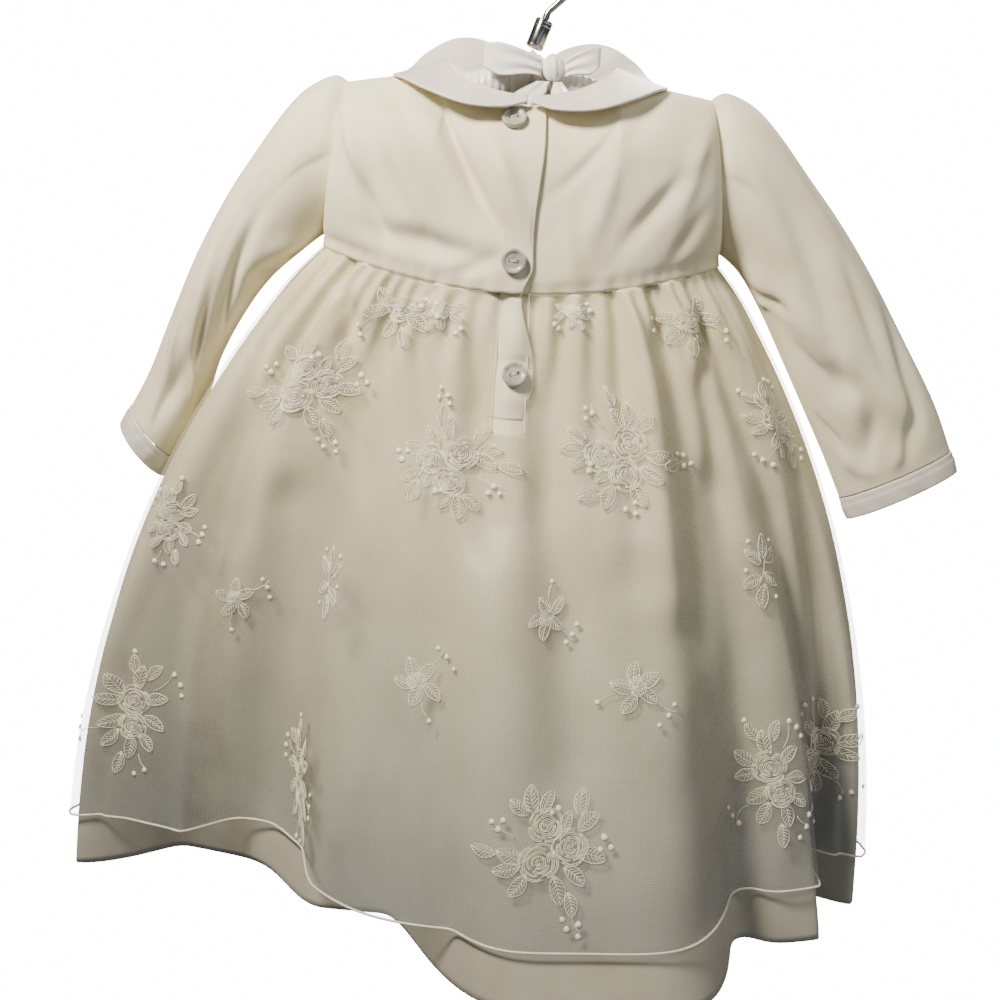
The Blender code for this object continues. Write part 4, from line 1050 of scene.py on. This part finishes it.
def stitchStem(lists, spray, x, y, turn, size):
    line = []
    for step in range(6):
        share = step / 5
        bend = math.radians(turn + 30 * (share - 0.5))
        line.append((x + size * share * math.cos(bend), y + size * share * math.sin(bend)))
    stitchLine(lists, spray, line, embroidery["fineStrand"], embroidery["height"] * 0.7)


def stitchBerry(lists, spray, x, y, size):
    verts, faces = lists
    middle, normal = onNet(spray, x, y, 0.1 * mm)
    side = normal.orthogonal().normalized()
    other = normal.cross(side)
    start = len(verts)
    sides = embroidery["berrySides"]
    for height, wide in ((0.0, 1.0), (0.38, 0.88), (0.66, 0.42)):
        for step in range(sides):
            turn = 2 * math.pi * step / sides
            ripple = 1 + 0.12 * math.cos(3 * turn)
            verts.append(middle + size * mm * ripple * wide * (side * math.cos(turn)
                         + other * math.sin(turn)) + normal * height * size * mm * 0.9)
    faces.extend(ringFaces(start, sides, 3))
    faces.append(tuple(start + 2 * sides + step for step in range(sides)))
    faces.append(tuple(start + step for step in reversed(range(sides))))


def makeEmbroidery():
    lists = {"Back": ([], []), "Front": ([], [])}
    stitches = {"rose": stitchRose, "leaf": stitchLeaf, "stem": stitchStem}
    for name, degrees, *laid in sprayPlaces:
        spray = makePatch(degrees, *laid)
        target = lists["Back" if abs(degrees) < 90 else "Front"]
        for kind, x, y, spin, reach in sprays[name]:
            if kind == "berry":
                stitchBerry(target, spray, x, y, reach)
            else:
                stitches[kind](target, spray, x, y, spin, reach)
    for side, (verts, faces) in lists.items():
        worked = threadObject("embroidery" + side, verts, faces)
        dress(worked, floss, [])
        print("embroidery", side, len(faces), "faces")


makeEmbroidery()


# Placket on the velvet below the yoke seam

placket = {"top": 0.001, "bottom": 0.190, "left": -12.5 * mm, "rightTop": 1.0 * mm,
           "swell": 7.5 * mm, "rounding": 4.0 * mm, "lift": 2.1 * mm, "puff": 1.3 * mm,
           "dent": 1.5 * mm, "wall": 1.1 * mm, "columns": 24, "rows": 48}
underPlacket = {}


def placketRight(down):
    right = placket["rightTop"] + placket["swell"] * ease(down / 0.6)
    return right - placket["rounding"] * ease((down - 0.72) / 0.28)


def placketPoint(share, row):  # laid on the velvet, its left edge and foot running into it
    if row not in underPlacket:
        underPlacket[row] = [skirtPoint(velvetRise, math.radians(mix(-16, 16, step / 60)), row)
                             for step in range(61)]
    down = (row - placket["top"]) / (placket["bottom"] - placket["top"])
    x = mix(placket["left"], placketRight(down), share)
    below = underPlacket[row][0]
    for first, last in zip(underPlacket[row], underPlacket[row][1:]):
        if first.x <= x <= last.x:
            below = first.lerp(last, (x - first.x) / (last.x - first.x))
    lift = placket["lift"] * mix(0.12, 1.0, ease(share / 0.5))
    lift *= mix(1.0, 0.04, ease((down - 0.8) / 0.2))
    swell = placket["puff"] * math.exp(-((down - 0.32) / 0.14) ** 2)
    swell -= placket["dent"] * math.exp(-((down - 0.55) / 0.05) ** 2)
    swell *= math.sin(math.pi * min(share * 0.6 + 0.2, 1.0)) * ease(share / 0.3)
    return Vector((x, below.y - lift - max(swell, -lift + 0.15 * mm), below.z))


def makePlacket():
    rows = [mix(placket["top"], placket["bottom"], row) for row in evenRows(placket["rows"])]
    flat = (0.019, 0.058)
    strip = makeSheet("skirtPlacket", placket["columns"], rows, placketPoint,
                      Vector((0, 0, -0.2)), placket["wall"], flat)
    dress(strip, velvet, ["skirt_placket"])
    print("placket laid")


makePlacket()


# Collar

collar = {"endAngle": 1.4, "stand": 3.6 * mm, "clear": 1.0 * mm, "inset": 1.3 * mm,
          "crestRise": 1.7 * mm, "crestOut": 0.8 * mm, "wall": 1.2 * mm,
          "columns": 120, "rows": 36}
# Lobes round the neck from the centre back: degrees, slope in degrees, width in millimetres
collarLobes = (
    (0, -24, 7), (12, -24, 17), (30, -22, 25), (48, -16, 28.5), (64, -14, 28), (80, -17, 27),
    (96, -19, 24), (112, 2, 23), (126, 28, 27), (140, 47, 31), (154, 54, 31), (168, 56, 24),
    (180, 52, 6))


def collarLobe(degrees):
    index = next(index for index in range(1, len(collarLobes))
                 if degrees <= collarLobes[index][0])
    around = [collarLobes[min(max(index + step, 0), len(collarLobes) - 1)]
              for step in (-2, -1, 0, 1)]
    share = (degrees - around[1][0]) / (around[2][0] - around[1][0])
    slope, width = (curveBetween(*(lobe[column] for lobe in around), share)
                    for column in (1, 2))
    return math.radians(slope), width * mm


def collarPoint(side, share, place):
    angle = math.radians(mix(collar["endAngle"], 180 - collar["endAngle"], share))
    sine, cosine = math.sin(angle), math.cos(angle)
    front = cosine < 0
    across = bodice["neckFrontY"] if front else bodice["neckBackY"]
    edgeZ = mix(bodice["neckSideZ"], bodice["neckFrontZ"] if front else bodice["neckBackZ"],
                abs(cosine) ** bodice["neckDip"])
    edge = Vector((side * bodice["neckHalf"] * sine, -across * cosine, edgeZ))
    outward = Vector((side * sine / bodice["neckHalf"], -cosine / across, 0)).normalized()
    slope, width = collarLobe(math.degrees(angle))
    lean = outward * math.cos(slope) + Vector((0, 0, math.sin(slope)))
    standTop = edge + Vector((0, 0, collar["stand"]))
    crest = standTop + Vector((0, 0, collar["crestRise"])) + outward * collar["crestOut"]
    line = [edge + Vector((0, 0, collar["clear"])) - outward * collar["inset"],
            standTop - outward * collar["inset"] * 1.2]
    line.extend(crest + lean * width * step / 3 for step in range(4))
    return smoothThrough(line, place)


def makeCollar():
    for name, side, node in (("collarLeft", -1, "collar_left"),
                             ("collarRight", 1, "collar_right")):
        flat = (0.140, 0.036)
        lobe = makeSheet(name, collar["columns"], evenRows(collar["rows"]),
                         lambda share, row: collarPoint(side, share, row),
                         Vector((0, 0, -1)), collar["wall"], flat)
        dress(lobe, satin, [node])
    print("collar turned")


makeCollar()


# Buttons

button = {"radius": 5.75 * mm, "thick": 2.4 * mm, "dish": 0.7 * mm, "holeRadius": 0.85 * mm,
          "holeSpacing": 3.4 * mm, "clear": 0.5 * mm, "sides": 48, "rim": 1.3 * mm,
          "rimSlope": 0.9 * mm, "rounding": 0.45 * mm, "thread": 0.14 * mm}


def turnButton(name):
    disc = addPrimitive(bpy.ops.mesh.primitive_cylinder_add, vertices=button["sides"],
                        radius=button["radius"], depth=button["thick"], location=(0, 0, 0))
    disc.name = name
    bpy.ops.object.mode_set(mode="EDIT")
    bpy.ops.mesh.select_mode(type="FACE")
    bpy.ops.mesh.select_all(action="DESELECT")
    shape = bmesh.from_edit_mesh(disc.data)
    for face in shape.faces:
        face.select = face.normal.z > 0.9
    bmesh.update_edit_mesh(disc.data)
    bpy.ops.mesh.inset(thickness=button["rim"])
    bpy.ops.mesh.inset(thickness=button["rimSlope"])
    bpy.ops.transform.translate(value=(0, 0, -button["dish"]))
    bpy.ops.object.mode_set(mode="OBJECT")
    rounding = disc.modifiers.new("Rim", "BEVEL")
    rounding.width = button["rounding"]
    rounding.segments = 3
    rounding.limit_method = "ANGLE"
    rounding.angle_limit = math.radians(20)
    for side in (-1, 1):
        cutter = addPrimitive(bpy.ops.mesh.primitive_cylinder_add, vertices=20,
                              radius=button["holeRadius"], depth=3 * button["thick"],
                              location=(side * button["holeSpacing"] / 2, 0, 0))
        hole = disc.modifiers.new("Hole", "BOOLEAN")
        hole.operation = "DIFFERENCE"
        hole.object = cutter
        applyModifiers(disc)
        bpy.data.objects.remove(cutter, do_unlink=True)
    makeActive(disc)
    bpy.ops.object.shade_smooth_by_angle(angle=math.radians(40))
    return disc


def buttonPlace(seat, nearbyRight, nearbyUp):
    right, up = (nearbyRight - seat).normalized(), (nearbyUp - seat).normalized()
    out = right.cross(up).normalized()
    out = -out if out.y > 0 else out
    centre = seat + out * (button["thick"] / 2 + button["clear"])
    across = up.cross(out).normalized()
    turn = Matrix((across, out.cross(across), out)).transposed().to_4x4()
    return Matrix.Translation(centre) @ turn


def makeButtons():
    seats = []
    for x, row in ((-6.8 * mm, 0.085), (-3.4 * mm, 0.825)):
        half = bodiceHalf(row)
        places = []
        for where, height in ((x, row), (x + 2 * mm, row), (x, row - 0.02)):
            places.append(bodicePoint(angleAt(where, half), height, front=False)
                          + overlapLift(x, height))
        seats.append(buttonPlace(*places))
    seats.append(buttonPlace(placketPoint(0.56, 0.123), placketPoint(0.66, 0.123),
                             placketPoint(0.56, 0.113)))
    for number, (place, turn) in enumerate(zip(seats, (14, -9, 22)), 1):
        disc = turnButton("button%d" % number)
        turned = place @ Matrix.Rotation(math.radians(turn), 4, "Z")
        disc.matrix_world = turned
        applyPlace(disc)
        dress(disc, pearl, ["button_%d" % number])
        strands = []
        for offset in (-0.22, 0.12):
            strand = addPrimitive(
                bpy.ops.mesh.primitive_torus_add, major_radius=button["holeSpacing"] / 2,
                minor_radius=button["thread"], major_segments=24, minor_segments=6,
                location=(0, 0, 0), rotation=(math.radians(90), 0, 0))
            applyPlace(strand)
            for vert in strand.data.vertices:
                vert.co.z = vert.co.z * 0.55 + button["thick"] / 2 - button["dish"] - 0.45 * mm
                vert.co.y += offset * mm
            strand.matrix_world = turned
            applyPlace(strand)
            strands.append(strand)
        sewn = joinPieces("buttonThread%d" % number, strands)
        dress(sewn, thread, [])
    print("buttons sewn on")


makeButtons()


# Hanger: wire hook, ferrule, padded arm and ribbon bow

hanger = {"wireRadius": 1.75 * mm, "hookRadius": 18 * mm, "hookStart": -38, "hookEnd": 205,
          "ferruleRadius": 4.5 * mm, "ferruleTop": Vector((5.5, 0, -42.2)) * mm,
          "ferruleBottom": Vector((0.84, 0, -55.6)) * mm,
          "armRadius": 8.8 * mm, "armHalf": 82 * mm, "armZ": -64.1 * mm,
          "armDrop": 24.8 * mm, "armCurve": 0.70, "rucheRise": 0.035,
          "armColumns": 32, "armRows": 260}


def makeHook():
    reach = hanger["hookRadius"] + hanger["wireRadius"]
    up = (hanger["ferruleTop"] - hanger["ferruleBottom"]).normalized()
    points = [hanger["ferruleTop"] + up * rise for rise in (bodice["seam"], 2 * mm, 4 * mm)]
    for step in range(73):
        angle = math.radians(mix(hanger["hookStart"], hanger["hookEnd"], step / 72))
        points.append(Vector((reach * math.cos(angle), 0,
                              reach * math.sin(angle) - hanger["hookRadius"])))
    curve = bpy.data.curves.new("hangerHook", "CURVE")
    curve.dimensions = "3D"
    curve.bevel_depth = hanger["wireRadius"]
    curve.bevel_resolution = 5
    curve.use_fill_caps = True
    spline = curve.splines.new("POLY")
    spline.points.add(len(points) - 1)
    for place, point in zip(spline.points, points):
        place.co = (*point, 1)
    makeActive(addObject("hangerHook", curve))
    bpy.ops.object.convert(target="MESH")
    hook = bpy.context.active_object
    tip = addPrimitive(bpy.ops.mesh.primitive_uv_sphere_add, segments=20, ring_count=10,
                       radius=2.1 * mm, location=points[-1])
    applyPlace(tip)
    hook = joinPieces("hangerHook", [hook, tip])
    makeActive(hook)
    bpy.ops.object.shade_smooth_by_angle(angle=math.radians(50))
    dress(hook, chrome, ["hanger_hook"])


def makeFerrule():
    length = (hanger["ferruleTop"] - hanger["ferruleBottom"]).length
    cap = addPrimitive(bpy.ops.mesh.primitive_cylinder_add, vertices=40, depth=length,
                       radius=hanger["ferruleRadius"] * 0.94, location=(0, 0, 0))
    rim = cap.modifiers.new("Rim", "BEVEL")
    rim.width = 0.8 * mm
    rim.segments = 3
    rim.angle_limit = math.radians(40)
    applyModifiers(cap)
    rings = [cap]
    for height in (-0.40, 0.28, 0.40):
        rings.append(addPrimitive(
            bpy.ops.mesh.primitive_torus_add, major_radius=hanger["ferruleRadius"] * 0.90,
            minor_radius=0.45 * mm, major_segments=40, minor_segments=8,
            location=(0, 0, height * length)))
        applyPlace(rings[-1])
    ferrule = joinPieces("hangerFerrule", rings)
    turn = (hanger["ferruleTop"] - hanger["ferruleBottom"]).to_track_quat("Z", "Y")
    middle = (hanger["ferruleTop"] + hanger["ferruleBottom"]) / 2
    ferrule.matrix_world = Matrix.Translation(middle) @ turn.to_matrix().to_4x4()
    applyPlace(ferrule)
    bpy.ops.object.shade_smooth_by_angle(angle=math.radians(50))
    dress(ferrule, chrome, ["hanger_ferrule"])


def armPoint(turn, along):
    share = 2 * along - 1
    x = hanger["armHalf"] * share
    z = hanger["armZ"] - hanger["armDrop"] * (abs(x) / hanger["armHalf"]) ** hanger["armCurve"]
    size = mix(0.02, 1.0, ease((1 - abs(share)) / 0.12) ** 0.5)
    angle = 2 * math.pi * turn
    ruche = 1 - hanger["rucheRise"]
    ruche += hanger["rucheRise"] * math.sin(150 * share + 2.0 * math.sin(angle))
    ruche *= 0.985 + 0.015 * math.sin(5 * angle + 30 * share)
    radius = hanger["armRadius"] * size * ruche
    return Vector((x, radius * math.sin(angle), z + radius * math.cos(angle)))


def makeArm():
    columns, rows = hanger["armColumns"], hanger["armRows"]
    verts = [armPoint(column / columns, row / rows)
             for row in range(rows + 1) for column in range(columns)]
    mesh = bpy.data.meshes.new("hangerArm")
    mesh.from_pydata(verts, [], ringFaces(0, columns, rows + 1))
    arm = addObject("hangerArm", mesh)
    makeActive(arm)
    bpy.ops.object.mode_set(mode="EDIT")
    bpy.ops.mesh.select_mode(type="EDGE")
    bpy.ops.mesh.select_all(action="DESELECT")
    bpy.ops.mesh.select_non_manifold()
    bpy.ops.mesh.fill()
    bpy.ops.mesh.select_all(action="SELECT")
    bpy.ops.mesh.normals_make_consistent(inside=False)
    bpy.ops.object.mode_set(mode="OBJECT")
    arm.data.shade_smooth()
    dress(arm, ribbon, ["hanger_arm"])


bow = {"centre": Vector((10.5, -12.5, -65.5)) * mm, "wall": 0.7 * mm}
bowLoops = (("bowLoopLeft", "bow_loop_left", -5.4, -33.0, 8.0, 15.0, 6.4, 4.5),
            ("bowLoopRight", "bow_loop_right", 5.4, 22.0, 8.0, 12.0, 6.2, 6.0))
bowTails = (("bowTailLeft", "bow_tail_left", -4.2, -17.5, -19.5, 14.0, 1.5),
            ("bowTailRight", "bow_tail_right", 2.6, 5.5, -17.5, 9.0, -1.2))


def makeBow():
    for name, node, near, far, nearWidth, farWidth, depth, rise in bowLoops:
        def loopPoint(turn, row):
            angle = 2 * math.pi * turn
            out = 0.5 - 0.5 * math.cos(angle)
            folds = math.sin(4 * math.pi * row + 1.5 * out) * (1 - ease((out - 0.35) / 0.6))
            y = -0.5 * depth * math.sin(angle) - 0.7 * folds
            rounded = 1 - 0.22 * ease((out - 0.72) / 0.28)
            wide = mix(nearWidth, farWidth, ease(out * 1.3)) * rounded
            z = rise * out + wide * (0.5 - row) + 0.5 * math.sin(2 * math.pi * out)
            return bow["centre"] + Vector((mix(near, far, out), y, z)) * mm
        middle = bow["centre"] + Vector(((near + far) / 2, 0, rise / 2)) * mm
        flat = (2.17 * abs(far - near) * mm, max((nearWidth + farWidth) / 2, 10.1) * mm)
        loop = makeSheet(name, 64, evenRows(16), loopPoint, middle, bow["wall"], flat, closed=True)
        dress(loop, ribbon, [node])
    for name, node, startX, endX, endZ, width, twist in bowTails:
        def tailPoint(share, row):
            wide = width * mix(0.45, 1.0, ease(row * 2))
            y = -1.0 - 5.5 * row + twist * math.sin(math.pi * row * 1.5) * (share - 0.5)
            y += 0.35 * math.sin(4 * math.pi * share) * (1 - row)
            z = mix(-6.5, endZ, row) + 1.5 * math.sin(math.pi * share) * row
            x = mix(startX, endX, row) + wide * (share - 0.5)
            return bow["centre"] + Vector((x, y, z)) * mm
        flat = (max(width, 10.0) * mm, math.hypot(endX - startX, endZ + 6.5) * 1.1 * mm)
        tail = makeSheet(name, 24, evenRows(32), tailPoint, bow["centre"] + Vector((0, 0.03, 0)),
                         bow["wall"], flat)
        dress(tail, ribbon, [node])
    knot = addPrimitive(bpy.ops.mesh.primitive_uv_sphere_add, segments=48, ring_count=28,
                        radius=0.5, location=(0, 0, 0))
    knot.name = knot.data.name = "bowKnot"
    for vert in knot.data.vertices:
        turn = math.atan2(vert.co.y, vert.co.x)
        ripple = 1 + 0.07 * math.cos(9 * turn + 3 * vert.co.z) + 0.04 * math.cos(4 * turn)
        vert.co = bow["centre"] + Vector((vert.co.x * ripple * 10, vert.co.y * ripple * 8,
                                          vert.co.z * 13)) * mm
    knot.data.shade_smooth()
    dress(knot, ribbon, ["bow_knot"])


makeHook()
makeFerrule()
makeArm()
makeBow()
print("hanger ready")


# World, lights and camera. Only the camera sees the white; a faint sky lights the gown.

studio = {"fill": 0.12, "white": 20.0}


def makeStudio():
    world = bpy.context.scene.world or bpy.data.worlds.new("studio")
    bpy.context.scene.world = world
    world.use_nodes = True
    tree = world.node_tree
    soft = tree.nodes["Background"]
    soft.inputs["Color"].default_value = toLinear("#F4F6FF")
    soft.inputs["Strength"].default_value = studio["fill"]
    seen = addNode(tree, "ShaderNodeBackground", {"Strength": studio["white"]})
    path = addNode(tree, "ShaderNodeLightPath")
    either = addNode(tree, "ShaderNodeMixShader", links={
        "Fac": path.outputs["Is Camera Ray"], 1: soft.outputs["Background"],
        2: seen.outputs["Background"]})
    feed(tree.nodes["World Output"], {"Surface": either.outputs["Shader"]})


lights = (  # name, place, aims at, size, watts, spread in degrees, colour
    ("keyLight", (-0.44, -0.52, 0.40), (-0.06, 0, -0.03), 0.22, 5.2, 88, "#FFF5E4"),
    ("fillLight", (0.5, -1.3, -0.5), (0, 0, -0.36), 1.0, 1.7, 180, "#CFE0FF"),
    ("sideLight", (0.9, -0.5, 0.5), (0, 0, -0.10), 0.4, 1.6, 120, "#FFF8EC"),
    ("backLight", (0.5, 1.2, 0.7), (0, 0, -0.24), 0.8, 26, 180, "#FFF8EC"),
)


def makeLights():
    for name, place, aim, size, power, spread, colour in lights:
        lamp = addPrimitive(bpy.ops.object.light_add, type="AREA", location=place)
        lamp.name = name
        lamp.data.size = size
        lamp.data.energy = power
        lamp.data.spread = math.radians(spread)
        lamp.data.color = toLinear(colour)[:3]
        lamp.rotation_euler = (Vector(aim) - Vector(place)).to_track_quat("-Z", "Y").to_euler()


camera = {"aim": Vector((-0.004, 0, -0.275)), "distance": 0.80, "pitch": 9.0, "roll": 3.0,
          "lens": 57.6, "sensor": 36, "near": 0.01}


def makeCamera():
    pitch = math.radians(camera["pitch"])
    place = camera["aim"] + camera["distance"] * Vector((0, -math.cos(pitch), math.sin(pitch)))
    eye = addPrimitive(bpy.ops.object.camera_add, location=place)
    turn = Matrix.Rotation(math.radians(90) - pitch, 4, "X")
    turn = turn @ Matrix.Rotation(math.radians(camera["roll"]), 4, "Z")
    eye.rotation_euler = turn.to_euler()
    eye.data.lens = camera["lens"]
    eye.data.sensor_width = camera["sensor"]
    eye.data.clip_start = camera["near"]
    bpy.context.scene.camera = eye


makeStudio()
makeLights()
makeCamera()
print("world, lights and camera ready")
